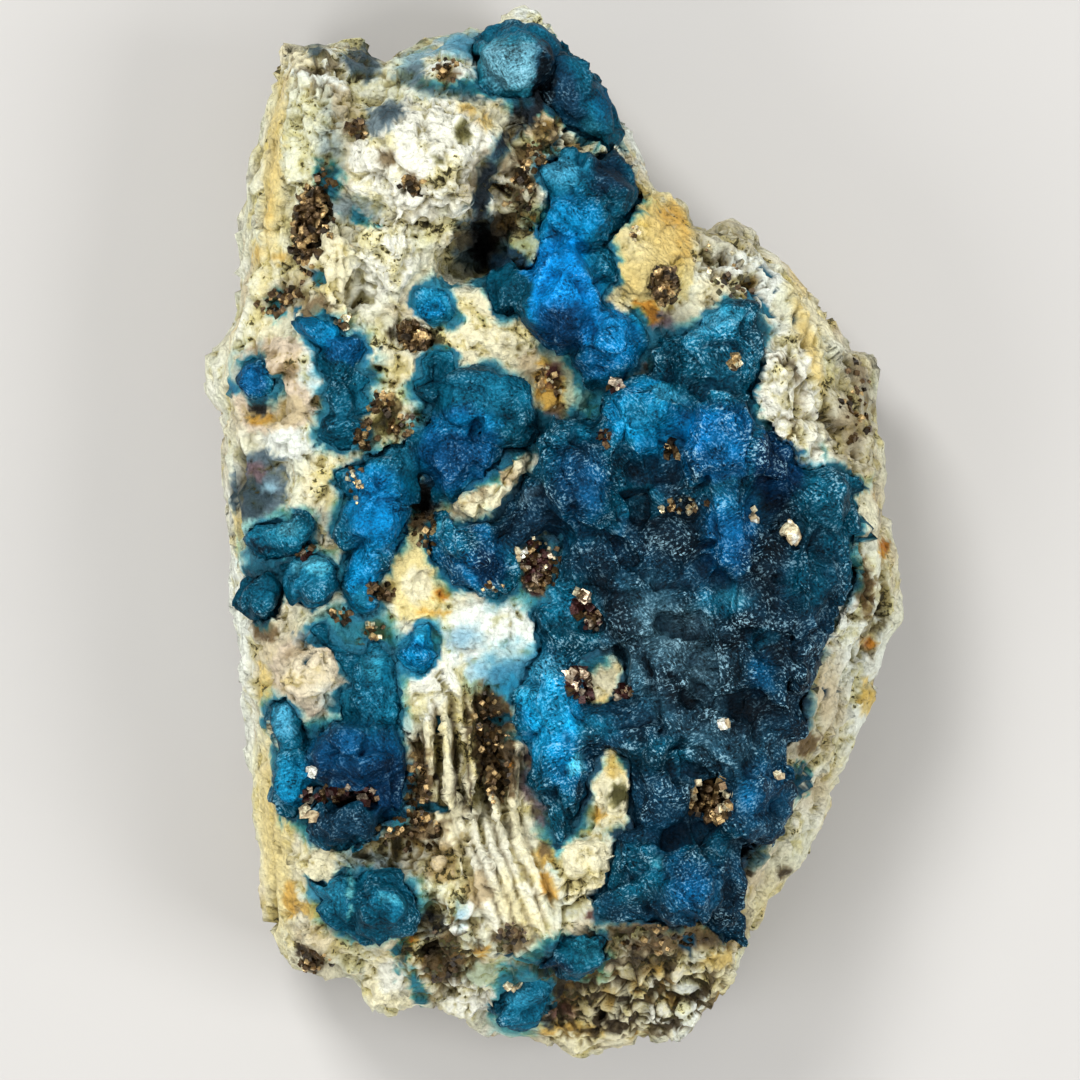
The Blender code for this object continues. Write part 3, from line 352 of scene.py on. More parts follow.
@dataclass
class Sculpture:
    """A closed mesh that is shaped and painted point by point."""

    mesh: bpy.types.Mesh

    @classmethod
    def from_arrays(cls, name: str, points: np.ndarray, faces: np.ndarray) -> "Sculpture":
        """Makes the mesh.

        Args:
            name: The mesh's name.
            points: Rows of x, y and z, in millimetres.
            faces: The corners of each triangle or four-sided face.

        Returns:
            The sculpture.
        """
        mesh = bpy.data.meshes.new(name)
        sides = faces.shape[1]
        mesh.vertices.add(len(points))
        mesh.vertices.foreach_set("co", (points * MM).astype(np.float32).ravel())
        mesh.loops.add(faces.size)
        mesh.loops.foreach_set("vertex_index", faces.astype(np.int32).ravel())
        mesh.polygons.add(len(faces))
        mesh.polygons.foreach_set("loop_start", np.arange(len(faces), dtype=np.int32) * sides)
        mesh.update(calc_edges=True)
        return cls(mesh)

    @property
    def points(self) -> np.ndarray:
        """The points.

        Returns:
            Rows of x, y and z, in millimetres.
        """
        flat = np.empty(len(self.mesh.vertices) * 3, np.float32)
        self.mesh.vertices.foreach_get("co", flat)
        return flat.reshape(-1, 3).astype(float) / MM

    @points.setter
    def points(self, moved: np.ndarray) -> None:
        """Puts the points in new places."""
        self.mesh.vertices.foreach_set("co", (moved * MM).astype(np.float32).ravel())
        self.mesh.update()

    @property
    def normals(self) -> np.ndarray:
        """The way out of the surface at each point.

        Returns:
            Rows of x, y and z, each one long.
        """
        flat = np.empty(len(self.mesh.vertices) * 3, np.float32)
        self.mesh.vertex_normals.foreach_get("vector", flat)
        return flat.reshape(-1, 3).astype(float)

    def changed_by(self, kind: str, marked: np.ndarray | None = None, **settings: Any) -> None:
        """Replaces the mesh by what one modifier makes of it.

        Args:
            kind: The modifier's type.
            marked: The points of the modifier's vertex group, as true or false.
            settings: The modifier's own settings.
        """
        helper = bpy.data.objects.new("helper", self.mesh)
        bpy.context.scene.collection.objects.link(helper)
        modifier = helper.modifiers.new(kind.lower(), kind)
        for key, value in settings.items():
            setattr(modifier, key, value)
        if marked is not None:
            group = helper.vertex_groups.new(name="marked")
            group.add(np.flatnonzero(marked).tolist(), 1.0, "REPLACE")
            group.add(np.flatnonzero(~marked).tolist(), 0.0, "REPLACE")
            modifier.vertex_group = group.name
        graph = bpy.context.evaluated_depsgraph_get()
        self.mesh = bpy.data.meshes.new_from_object(helper.evaluated_get(graph))
        bpy.data.objects.remove(helper)

    def thinned(self, marked: np.ndarray, keep: int) -> None:
        """Thins the marked points out and leaves all the others.

        Args:
            marked: The points that may go, as true or false.
            keep: About how many of them stay.
        """
        share = (marked.sum() - keep) / len(marked)
        if share > 0.0:
            self.changed_by("DECIMATE", marked, ratio=1.0 - share, vertex_group_factor=1.0)

    def mean_of_neighbours(self, values: np.ndarray) -> np.ndarray:
        """The mean of each point's neighbours along the edges.

        Args:
            values: One number or one row of numbers for each point.

        Returns:
            The means, in the same shape.
        """
        ends = np.empty(len(self.mesh.edges) * 2, np.int32)
        self.mesh.edges.foreach_get("vertices", ends)
        first, last = ends.reshape(-1, 2).T
        count = np.bincount(first, minlength=len(values)) + np.bincount(last, minlength=len(values))
        columns = [
            np.bincount(first, column[last], len(values)) + np.bincount(last, column[first], len(values))
            for column in values.reshape(len(values), -1).T
        ]
        return (np.stack(columns, axis=1) / np.maximum(count, 1)[:, None]).reshape(values.shape)

    def softened(self, times: int) -> None:
        """Moves each point halfway to the mean of its neighbours.

        Args:
            times: How many times.
        """
        points = self.points
        for _ in range(times):
            points = 0.5 * (points + self.mean_of_neighbours(points))
        self.points = points

    def hollows(self, times: int) -> np.ndarray:
        """How far each point lies below the smoothed surface round it.

        Args:
            times: How many times the surface is smoothed.

        Returns:
            The depth of each point, in millimetres.
        """
        points = self.points
        soft = points
        for _ in range(times):
            soft = 0.5 * (soft + self.mean_of_neighbours(soft))
        return ((soft - points) * self.normals).sum(axis=1)

    def triangles(self) -> np.ndarray:
        """The mesh's triangles.

        Returns:
            The corners of each triangle.
        """
        self.mesh.calc_loop_triangles()
        corners = np.empty(len(self.mesh.loop_triangles) * 3, np.int32)
        self.mesh.loop_triangles.foreach_get("vertices", corners)
        return corners.reshape(-1, 3)

    def paint(self, name: str, values: np.ndarray) -> None:
        """Stores what a finish reads at each point.

        Args:
            name: The name that the finish reads it by.
            values: One colour or one number for each point.
        """
        if values.ndim == 2:
            layer = self.mesh.attributes.new(name, "FLOAT_COLOR", "POINT")
            full = np.concatenate([np.clip(values, 0.0, 1.0), np.ones((len(values), 1))], axis=1)
            layer.data.foreach_set("color", full.astype(np.float32).ravel())
        else:
            layer = self.mesh.attributes.new(name, "FLOAT", "POINT")
            layer.data.foreach_set("value", values.astype(np.float32))

    def placed(
        self, name: str, finish: bpy.types.Material, slot: str, nodes: list[str], smooth: bool = True
    ) -> bpy.types.Object:
        """Makes the piece from the mesh and ties it to the stone.

        Args:
            name: The piece's name.
            finish: Its material.
            slot: The record's material slot, which is not used.
            nodes: The solids that it stands for.
            smooth: Whether it is shaded smooth.

        Returns:
            The piece.
        """
        self.mesh.materials.clear()
        self.mesh.materials.append(finish)
        self.mesh.polygons.foreach_set("use_smooth", np.full(len(self.mesh.polygons), smooth))
        self.mesh.name = name
        piece = bpy.data.objects.new(name, self.mesh)
        bpy.context.scene.collection.objects.link(piece)
        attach(piece, BODY)
        if nodes:
            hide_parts(*nodes)
        log.info("%s: %d faces", name, len(self.mesh.polygons))
        return piece


def solid_of(node: str, grow: float = 0.0) -> tuple[np.ndarray, np.ndarray]:
    """The points and triangles of one solid of the model.

    Args:
        node: The solid's name.
        grow: How far its surface moves out, in millimetres.

    Returns:
        The points in millimetres, and the corners of each triangle.
    """
    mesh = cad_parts[node].data
    flat = np.empty(len(mesh.vertices) * 3, np.float32)
    mesh.vertices.foreach_get("co", flat)
    mesh.calc_loop_triangles()
    corners = np.empty(len(mesh.loop_triangles) * 3, np.int32)
    mesh.loop_triangles.foreach_get("vertices", corners)
    loose = flat.reshape(-1, 3).astype(float) / MM
    _, first, place = np.unique(
        np.round(loose, 3), axis=0, return_index=True, return_inverse=True
    )
    points, faces = loose[first], place.reshape(-1)[corners].reshape(-1, 3)
    if grow:
        ways = np.cross(
            points[faces[:, 1]] - points[faces[:, 0]], points[faces[:, 2]] - points[faces[:, 0]]
        )
        normals = np.zeros_like(points)
        for corner in range(3):
            np.add.at(normals, faces[:, corner], ways)
        normals /= np.linalg.norm(normals, axis=1, keepdims=True) + 1e-9
        points = points + grow * normals
    return points, faces


def joined(solids: list[tuple[np.ndarray, np.ndarray]]) -> tuple[np.ndarray, np.ndarray]:
    """Several sets of points and faces as one set.

    Args:
        solids: The points and faces of each.

    Returns:
        All the points, and all the faces.
    """
    starts = np.cumsum([0] + [len(points) for points, _ in solids[:-1]])
    points = np.concatenate([points for points, _ in solids])
    faces = np.concatenate([faces + start for (_, faces), start in zip(solids, starts)])
    return points, faces


def tree_of(points: np.ndarray, faces: np.ndarray) -> BVHTree:
    """A surface in millimetres as a tree for finding near points."""
    return BVHTree.FromPolygons(points.tolist(), faces.tolist())


@dataclass
class Skins:
    """The finished surfaces of several bodies, to measure distances from and take colours of."""

    points: np.ndarray
    faces: np.ndarray
    colours: np.ndarray

    def near(self, points: np.ndarray, reach: float) -> tuple[np.ndarray, np.ndarray]:
        """How far each point lies from the skins, and the colour of the skin there.

        Args:
            points: Rows of x, y and z.
            reach: The distance beyond which points aren't told apart.

        Returns:
            The distance of each point, below 0 inside a body, and the colour of the nearest skin.
        """
        tree = tree_of(self.points, self.faces)
        away = np.full(len(points), reach)
        face = np.zeros(len(points), int)
        for row, point in enumerate(points):
            place, normal, index, distance = tree.find_nearest(Vector(point), reach)
            if place is not None:
                away[row] = math.copysign(distance, (Vector(point) - place).dot(normal))
                face[row] = index
        return away, self.colours[self.faces[face, 0]]


@dataclass
class Bed:
    """The level of the marble's face, bridged under the crystals from the open marble round them."""

    stone: BVHTree
    crystals: BVHTree
    half_x: float = 44.0
    half_y: float = 64.0
    step: float = 1.0
    rounds: int = 700
    sky: float = 100.0
    face_level: float = 15.0
    heights: np.ndarray = field(init=False)

    def __post_init__(self) -> None:
        """Measures the open marble and fills the rest from it."""
        xs = np.arange(-self.half_x, self.half_x + self.step, self.step)
        ys = np.arange(-self.half_y, self.half_y + self.step, self.step)
        heights = np.zeros((len(xs), len(ys)))
        covered = np.zeros(heights.shape, bool)
        down = Vector((0.0, 0.0, -1.0))
        for (i, x), (j, y) in itertools.product(enumerate(xs), enumerate(ys)):
            start = Vector((x, y, self.sky))
            stone = self.stone.ray_cast(start, down)[0]
            crystal = self.crystals.ray_cast(start, down)[0]
            heights[i, j] = stone.z if stone else 0.0
            covered[i, j] = crystal is not None
        wide = covered.copy()
        for shift in itertools.product((-1, 0, 1), repeat=2):
            wide |= np.roll(covered, shift, axis=(0, 1))
        open_level = heights[(heights > self.face_level) & ~wide].mean()
        heights[wide] = open_level
        for _ in range(self.rounds):
            mean = sum(np.roll(heights, shift, axis=(0, 1)) for shift in ((1, 0), (-1, 0), (0, 1), (0, -1)))
            heights = np.where(wide, mean / 4.0, heights)
        self.heights = heights

    def ground(self, x: float, y: float) -> float:
        """How high the stone itself is at one place."""
        place = self.stone.ray_cast(Vector((x, y, self.sky)), Vector((0.0, 0.0, -1.0)))[0]
        return place.z if place else 0.0

    def level(self, points: np.ndarray) -> np.ndarray:
        """The marble's level under or over each point.

        Args:
            points: Rows of x, y and z.

        Returns:
            The height at each point, in millimetres.
        """
        i = np.clip((points[:, 0] + self.half_x) / self.step, 0, self.heights.shape[0] - 1.001)
        j = np.clip((points[:, 1] + self.half_y) / self.step, 0, self.heights.shape[1] - 1.001)
        row, column = i.astype(int), j.astype(int)
        u, v = i - row, j - column
        near = self.heights[row, column] * (1 - v) + self.heights[row, column + 1] * v
        far = self.heights[row + 1, column] * (1 - v) + self.heights[row + 1, column + 1] * v
        return near * (1 - u) + far * u


@dataclass(frozen=True)
class Lump:
    """A rounded lump that stands on the stone: its middle, half widths, half height and rise."""

    x: float
    y: float
    half_x: float
    half_y: float
    half_z: float
    rise: float = 0.0

    def solid(self, bed: Bed, rings: int = 8, sides: int = 12) -> tuple[np.ndarray, np.ndarray]:
        """The lump as a closed surface.

        Args:
            bed: Tells how high the stone is there.
            rings: How many bands of faces it has from top to bottom.
            sides: How many faces go round.

        Returns:
            The points in millimetres, and the corners of each triangle.
        """
        tilt = np.linspace(0.0, math.pi, rings + 1)[1:-1, None]
        turn = np.linspace(0.0, math.tau, sides, endpoint=False)[None]
        ring = [np.sin(tilt) * np.cos(turn), np.sin(tilt) * np.sin(turn), np.cos(tilt) + 0.0 * turn]
        ball = np.concatenate([[[0.0, 0.0, 1.0]], np.stack(ring, axis=2).reshape(-1, 3), [[0.0, 0.0, -1.0]]])
        index = 1 + np.arange((rings - 1) * sides).reshape(rings - 1, sides)
        beside = np.roll(index, -1, axis=1)
        first, last = np.zeros(sides, int), np.full(sides, len(ball) - 1)
        strips = [
            (first, index[0], beside[0]),
            (index[:-1], index[1:], beside[1:]),
            (index[:-1], beside[1:], beside[:-1]),
            (last, beside[-1], index[-1]),
        ]
        faces = np.concatenate([np.stack([part.ravel() for part in strip], axis=1) for strip in strips])
        middle = (self.x, self.y, bed.ground(self.x, self.y) + self.rise)
        return ball * (self.half_x, self.half_y, self.half_z) + middle, faces


class Link:
    """A socket in a finish. Sums on it add the Math nodes that work them out."""

    def __init__(self, board: "Board", socket: bpy.types.NodeSocket) -> None:
        """Keeps the socket and the board that it is on."""
        self.board = board
        self.socket = socket

    def _math(self, operation: str, first: Any, second: Any) -> "Link":
        """One Math node on two values or links."""
        return self.board.node("ShaderNodeMath", {"operation": operation}, {0: first, 1: second})

    def __add__(self, other: Any) -> "Link":
        """The sum."""
        return self._math("ADD", self, other)

    def __sub__(self, other: Any) -> "Link":
        """The difference."""
        return self._math("SUBTRACT", self, other)

    def __mul__(self, other: Any) -> "Link":
        """The product."""
        return self._math("MULTIPLY", self, other)

    def __radd__(self, other: Any) -> "Link":
        """The sum, with the link on the right."""
        return self._math("ADD", other, self)

    def __rsub__(self, other: Any) -> "Link":
        """The difference, with the link on the right."""
        return self._math("SUBTRACT", other, self)

    def __rmul__(self, other: Any) -> "Link":
        """The product, with the link on the right."""
        return self._math("MULTIPLY", other, self)

    def at_least(self, least: float) -> "Link":
        """The greater of the link and a number."""
        return self._math("MAXIMUM", self, least)

    def above(self, edge: float, softness: float) -> "Link":
        """A mask that is 0 below an edge and 1 above it.

        Args:
            edge: The value where the mask is a half.
            softness: How far on each side of the edge it is soft.

        Returns:
            The mask.
        """
        settings = {"interpolation_type": "SMOOTHSTEP"}
        sockets = {"Value": self, "From Min": edge - softness, "From Max": edge + softness}
        return self.board.node("ShaderNodeMapRange", settings, sockets)


class Board:
    """The nodes of one finish."""

    def __init__(self, name: str) -> None:
        """Starts a finish with a Principled shader and the place on the stone in millimetres.

        Args:
            name: The finish's name.
        """
        self.material = bpy.data.materials.new(name)
        self.material.use_nodes = True
        self.tree = self.material.node_tree
        self.shader = self.tree.nodes["Principled BSDF"]
        place = self.node("ShaderNodeTexCoord", {}, {}, "Object")
        self.place = self.node(
            "ShaderNodeVectorMath", {"operation": "SCALE"}, {0: place, "Scale": 1.0 / MM}
        )

    def node(
        self, kind: str, settings: dict[str, Any], sockets: dict[Any, Any], output: Any = 0
    ) -> Link:
        """Adds one node.

        Args:
            kind: The node's type.
            settings: Its settings, which are set before its sockets.
            sockets: The value or link of each socket, by name or number.
            output: The output that is used, by name or number.

        Returns:
            A link to that output.
        """
        node = self.tree.nodes.new(kind)
        for key, value in settings.items():
            setattr(node, key, value)
        for key, value in sockets.items():
            if isinstance(value, Link):
                self.tree.links.new(value.socket, node.inputs[key])
            else:
                node.inputs[key].default_value = value
        return Link(self, node.outputs[output])

    def attribute(self, name: str, output: str = "Fac") -> Link:
        """What is painted on the mesh under a name, as a number or, with Color, as a colour."""
        return self.node("ShaderNodeAttribute", {"attribute_name": name}, {}, output)

    def noise(self, scale: float, detail: float = 4.0, place: Link | None = None) -> Link:
        """Cloudy noise from 0 to 1, with so many clouds a millimetre."""
        sockets = {"Vector": place or self.place, "Scale": scale, "Detail": detail, "Roughness": 0.62}
        return self.node("ShaderNodeTexNoise", {}, sockets)

    def grains(self, scale: float, output: str = "Distance") -> Link:
        """Cells like those of sugar, with so many grains a millimetre."""
        sockets = {"Vector": self.place, "Scale": scale}
        return self.node("ShaderNodeTexVoronoi", {}, sockets, output)

    def drawn_out(
        self, turn: float, scale: tuple[float, float, float], place: Link | None = None
    ) -> Link:
        """The place on the stone turned about the upright axis, with its axes scaled.

        Args:
            turn: The turn in degrees.
            scale: How many times finer a pattern gets along each turned axis.
            place: The place to start from, if it isn't the place in millimetres.

        Returns:
            The place for a pattern that is drawn out one way.
        """
        sockets = {"Vector": place or self.place, "Angle": math.radians(turn)}
        turned_place = self.node("ShaderNodeVectorRotate", {"rotation_type": "Z_AXIS"}, sockets)
        return self.node(
            "ShaderNodeVectorMath", {"operation": "MULTIPLY"}, {0: turned_place, 1: scale}
        )

    def mix(self, share: Any, first: Any, second: Any, blend: str = "MIX") -> Link:
        """Two colours mixed by a share from 0 to 1."""
        settings = {"data_type": "RGBA", "blend_type": blend, "clamp_factor": True}
        return self.node("ShaderNodeMix", settings, {0: share, 6: first, 7: second}, 2)

    def toned(self, colour: Any, tone: Any) -> Link:
        """A colour multiplied by another colour or by a number's link."""
        return self.mix(1.0, colour, tone, "MULTIPLY")

    def bump(self, height: Link, strength: float, distance: float) -> Link:
        """A fine relief, so many millimetres deep."""
        sockets = {"Strength": strength, "Distance": distance * MM, "Height": height}
        return self.node("ShaderNodeBump", {}, sockets)

    def finish(self, links: dict[str, Link], **constants: Any) -> bpy.types.Material:
        """Connects the shader.

        Args:
            links: What changes over the surface, by the shader's socket names.
            constants: What is the same all over, with underscores for spaces.

        Returns:
            The finished material.
        """
        for key, link in links.items():
            self.tree.links.new(link.socket, self.shader.inputs[key])
        for key, value in constants.items():
            self.shader.inputs[key.replace("_", " ")].default_value = value
        return self.material


@dataclass(frozen=True)
class MarbleFinish:
    """Granular marble: painted colour, sugary grains, honey stains, dark specks, and painted shade in the
    hollows.
    """

    lump_scale: float = 0.35
    spot_scale: float = 1.7
    cluster_scale: float = 0.22
    fine_scale: float = 2.2
    grain_scale: float = 1.25
    honey: tuple[float, float, float, float] = (0.88, 0.82, 0.55, 1.0)
    shadow: tuple[float, float, float, float] = (0.20, 0.17, 0.11, 1.0)

    def material(self) -> bpy.types.Material:
        """Builds the finish.

        Returns:
            The material.
        """
        board = Board("marble_finish")
        tint = board.attribute("tint", "Color")
        speck = board.attribute("speck")
        hollow = board.attribute("hollow")
        lump = board.noise(self.lump_scale, 5.0)
        spots = board.noise(self.spot_scale, 6.0)
        cluster = board.noise(self.cluster_scale, 3.0)
        fine = board.noise(self.fine_scale, 3.0)
        each = board.grains(self.grain_scale, "Color")
        gap = board.grains(self.grain_scale)
        sugar = board.toned(tint, each * 0.26 + fine * 0.34 + lump * 0.34 - gap * 0.14 + 0.65)
        # The hollow value adds painted shade: it strengthens the honey tone and the dark specks in hollows.
        tanned = (cluster * 1.2 - lump * 0.7 + hollow * 0.5 + speck * 0.12).above(0.42, 0.14)
        honeyed = board.mix(tanned, sugar, board.toned(sugar, self.honey))
        specks_and_hollow_shade = (0.5 - spots) * 2.0 + (cluster - 0.5) * 1.9 + speck * 0.28 + hollow * 0.35 + gap * 0.4
        dark = board.mix(board.noise(1.7, 2.0), Shade.OLIVE.rgba, Shade.UMBER.rgba)
        edged = board.mix(specks_and_hollow_shade.above(0.70, 0.08) * 0.8, honeyed, board.toned(honeyed, self.honey))
        spotted = board.mix(specks_and_hollow_shade.above(0.80, 0.03) * 0.92, edged, dark)
        # Painted shade: the colour is darkened by the shadow tone where the hollow value is high.
        shaded_hollows = board.mix(hollow, spotted, board.toned(spotted, self.shadow))
        relief = spots * 0.9 + fine * 0.4 + each * 0.2 - gap * 0.6
        return board.finish(
            {
                "Base Color": shaded_hollows,
                "Roughness": fine * 0.5 + 0.30,
                "Normal": board.bump(relief, 1.0, 1.0),
            },
            Specular_IOR_Level=0.3,
        )


@dataclass(frozen=True)
class BlueFinish:
    """Satin blue crystal: painted colour, short etched strokes whose pale parts are partly painted sheen,
    painted shade in the hollows and tiny painted glints.
    """

    stroke_scale: tuple[float, float, float] = (1.7, 4.2, 3.0)
    stroke_turns: tuple[float, float] = (52.0, -20.0)
    fine_scale: float = 3.2
    glint_scale: float = 3.4
    lift: tuple[float, float, float, float] = (1.6, 1.5, 1.4, 1.0)
    shadow: tuple[float, float, float, float] = (0.06, 0.11, 0.16, 1.0)

    def strokes(self, board: Board) -> Link:
        """Short curved strokes that run one way here and another way there.

        Args:
            board: The finish that they are added to.

        Returns:
            The strokes, from 0 to 1.
        """
        sockets = {"Vector": board.place, "Scale": 0.3, "Detail": 2.0}
        bend = board.node("ShaderNodeTexNoise", {}, sockets, "Color")
        wide = board.node("ShaderNodeVectorMath", {"operation": "SCALE"}, {0: bend, "Scale": 1.2})
        place = board.node("ShaderNodeVectorMath", {"operation": "ADD"}, {0: board.place, 1: wide})
        down, across = (
            board.noise(1.0, 3.0, board.drawn_out(turn, self.stroke_scale, place))
            for turn in self.stroke_turns
        )
        side = board.noise(0.35, 2.0).above(0.5, 0.03)
        return down + side * (across - down)

    def material(self) -> bpy.types.Material:
        """Builds the finish.

        Returns:
            The material.
        """
        board = Board("afghanite_finish")
        tint = board.attribute("tint", "Color")
        frost = board.attribute("frost")
        hollow = board.attribute("hollow")
        stroke = self.strokes(board)
        fine = board.noise(self.fine_scale, 4.0)
        cloud = board.noise(0.45, 4.0)
        tone = (stroke - 0.5) * (frost * 3.4 + 1.4) + (fine - 0.5) * 2.8 + cloud * 2.4 - 0.25
        body = board.toned(tint, tone.at_least(0.12))
        # The pale strokes are partly real frosting and partly painted satin sheen: lighter copies of the
        # tint mixed with powder blue.
        pale = board.mix(frost * 0.7 + 0.08, board.toned(tint, self.lift), Shade.POWDER.rgba)
        pale_strokes = (stroke * 0.45 + fine * 0.40 + cloud * 0.25).above(0.61, 0.03) * (frost * 0.95 + 0.05)
        with_pale_strokes = board.mix(pale_strokes, body, pale)
        # Painted glints: tiny pale spots in the colour stand in for highlights.
        spark = board.noise(self.glint_scale, 2.0) + cloud * 0.5 + frost * 0.08
        painted_glint = spark.above(1.05, 0.02) * 0.7
        with_painted_glints = board.mix(painted_glint, with_pale_strokes, Shade.POWDER.rgba)
        # Painted shade: the colour is darkened by the shadow tone where the hollow value is high.
        shaded_hollows = board.mix(hollow, with_painted_glints, board.toned(with_painted_glints, self.shadow))
        relief = stroke * 1.2 + fine * 0.6
        return board.finish(
            {
                "Base Color": shaded_hollows,
                "Roughness": fine * 0.6 + 0.15,
                "Normal": board.bump(relief, 0.6, 0.4),
            },
            Specular_IOR_Level=0.06,
        )


@dataclass(frozen=True)
class GrainFinish:
    """Small grains with their colour painted on: metallic pyrite, or plain mineral."""

    name: str
    metallic: float
    roughness: float

    def material(self) -> bpy.types.Material:
        """Builds the finish.

        Returns:
            The material.
        """
        board = Board(self.name)
        tint = board.attribute("tint", "Color")
        cloud = board.noise(2.2, 4.0)
        worn = board.mix(cloud.above(0.5, 0.12), board.toned(tint, (0.42, 0.36, 0.32, 1.0)), tint)
        return board.finish(
            {
                "Base Color": worn,
                "Roughness": cloud * 0.4 + self.roughness,
                "Normal": board.bump(cloud, 0.5, 0.2),
            },
            Metallic=self.metallic,
        )


class Zone(Enum):
    """The kinds of ground on the marble's face."""

    SMOOTH = "smooth"
    COARSE = "coarse"
    LAMELLAR = "lamellar"
    PITTED = "pitted"
    SPECKED = "specked"
    OPEN = "open"


ZONES: dict[Zone, list[Patch]] = {
    Zone.OPEN: [
        Patch(7, -52.5, 12, 5.5, 0, 1, 2), Patch(-13, -46.5, 5, 5, 0, 0.8, 2),
        Patch(-25, 53.5, 6, 3, 0, 0.5, 2), Patch(20, 30, 3.4, 4.4, 0, 0.5, 2),
        Patch(33.6, 13.6, 3.4, 7, 0, 0.4, 2), Patch(-15, 38, 8, 4, -15, 0.15, 2),
        Patch(-1, 44.6, 5, 3, 0, 0.8, 1), Patch(-17, -34.6, 6, 3.6, 0, 0.6, 2),
        Patch(-4, 37.4, 2.8, 5, 0, 0.8, 1), Patch(-19, 13, 4, 4, 0, 0.7, 2),
        Patch(27, 15, 3.4, 8, 10, 0.5, 2), Patch(34.4, -6, 2.6, 8, 10, 0.6, 2),
    ],
    Zone.SMOOTH: [
        Patch(9.4, 33, 3.6, 6, 20, 0.8), Patch(-15, -4, 4, 5, 0, 0.7), Patch(-7, -12, 6.5, 4.5, 20, 0.7),
        Patch(-5.6, -39.5, 4.4, 7.5, 22, 0.5), Patch(-31.8, 42, 1.4, 9, -4, 0.7),
        Patch(-32, -36, 1.8, 11, 5, 0.8), Patch(6.6, -27, 3, 3.4, 0, 0.4),
        Patch(-18.6, -50.4, 2.6, 3.6, 15, 0.5), Patch(28.4, 22.5, 1.6, 6.6, 10, 0.6),
        Patch(-36, -12, 1.5, 16, 0, 0.6),
    ],
    Zone.COARSE: [
        Patch(-14, 41, 9, 8, -15), Patch(20.4, 31, 5, 5.6), Patch(-26, 47, 5, 6),
        Patch(26.6, 15, 4, 8.6, 10, 0.8), Patch(-3, 38, 3, 5), Patch(10, -50, 12, 8),
        Patch(-19, 31.5, 3.2, 4.2), Patch(-10, -52, 4, 4), Patch(3, -52, 5, 6),
        Patch(-29, 12, 6, 8, 0, 0.6), Patch(-27, -17, 5, 5, 0, 0.6), Patch(-20, -46, 12, 9, 0, 0.8),
        Patch(-24, 24, 6, 5, 0, 0.8), Patch(-5, 22, 8, 6, 0, 0.7), Patch(0, 44, 6, 4, 0, 0.8),
        Patch(-18, -34, 6, 4, 0, 0.8), Patch(5, -34, 4, 9, 0, 0.6), Patch(-20, 15, 7, 8, 0, 0.6),
        Patch(-2, -2, 4, 6, 0, 0.6),
    ],
    Zone.LAMELLAR: [
        Patch(-9, -27, 6.6, 10, 5, 1, 1.5), Patch(-5, -40, 5, 8, 18, 0.7, 1.5),
        Patch(34, -14, 4, 22, 12, 0.9, 1.5), Patch(-36, -10, 2, 30, 0, 0.6, 1.5),
        Patch(-30, 44, 4, 12, -6, 0.6, 1.5), Patch(-24.5, 29, 3, 6, 0, 0.7, 1.5),
        Patch(27.5, 20, 3, 9, 8, 0.6, 1.5), Patch(24, -44, 3, 7, -30, 0.8, 1.5),
    ],
    Zone.PITTED: [
        Patch(-16, 38, 7, 4), Patch(20, 31, 6, 6), Patch(-4, 37, 4, 6), Patch(33.5, 14, 3.4, 7),
        Patch(8, -48, 12, 4), Patch(-22, 13, 8, 6), Patch(-9, -25, 4, 6, 0, 0.5), Patch(-18, -34, 6, 4),
        Patch(-24, 52, 6, 4), Patch(-13, -46, 5, 6), Patch(34, -5, 3, 10), Patch(-3, -4, 3, 5),
        Patch(0, 44, 5, 3, 0, 0.8), Patch(5, -53, 8, 5),
    ],
    Zone.SPECKED: [
        Patch(20.4, 31, 5.6, 6, 0, 0.6, 2), Patch(33.5, 12, 3.6, 9, 0, 0.6, 2),
        Patch(26, 13, 4, 9, 0, 0.5, 2), Patch(34, -8, 3, 16, 10, 0.4, 2),
        Patch(-14, 38.6, 8, 5, -10, 0.45, 2), Patch(-19, 31, 4, 5, 0, 0.5, 2),
        Patch(-4, 37, 2.8, 6, 0, 0.6, 2), Patch(-22, 13, 8, 7, 0, 0.5, 3),
        Patch(-30, 45, 3.6, 11, 0, 0.4, 3), Patch(-8, -24, 3.4, 6, 5, 1.2, 1.5),
        Patch(-17, -34, 6, 4, 0, 0.7, 2), Patch(10, -46, 12, 3.6, 0, 0.8, 2),
        Patch(7, -53, 10, 5, 0, 0.5, 3), Patch(-13, -47, 5, 6, 0, 0.9, 2), Patch(-24, -47, 6, 4, 0, 0.6, 3),
        Patch(-24, 54, 6, 3, 0, 0.8, 2), Patch(0.5, 45, 5, 3, 0, 0.7, 2), Patch(27, -25, 3, 3, 0, 0.7, 2),
        Patch(-22.4, 46, 1.4, 1.4, 0, 1), Patch(-12.4, 52, 1.4, 1.4, 0, 1), Patch(-2, -3, 3, 5, 0, 0.8, 2),
        Patch(-15, 22, 5, 3, 0, 0.7, 2), Patch(-26, 30, 4, 7, 0, 0.4, 3), Patch(-31, 18, 3, 3, 0, 0.5, 2),
        Patch(4, -43.5, 3.4, 2.4, 0, 0.6, 2),
    ],
}

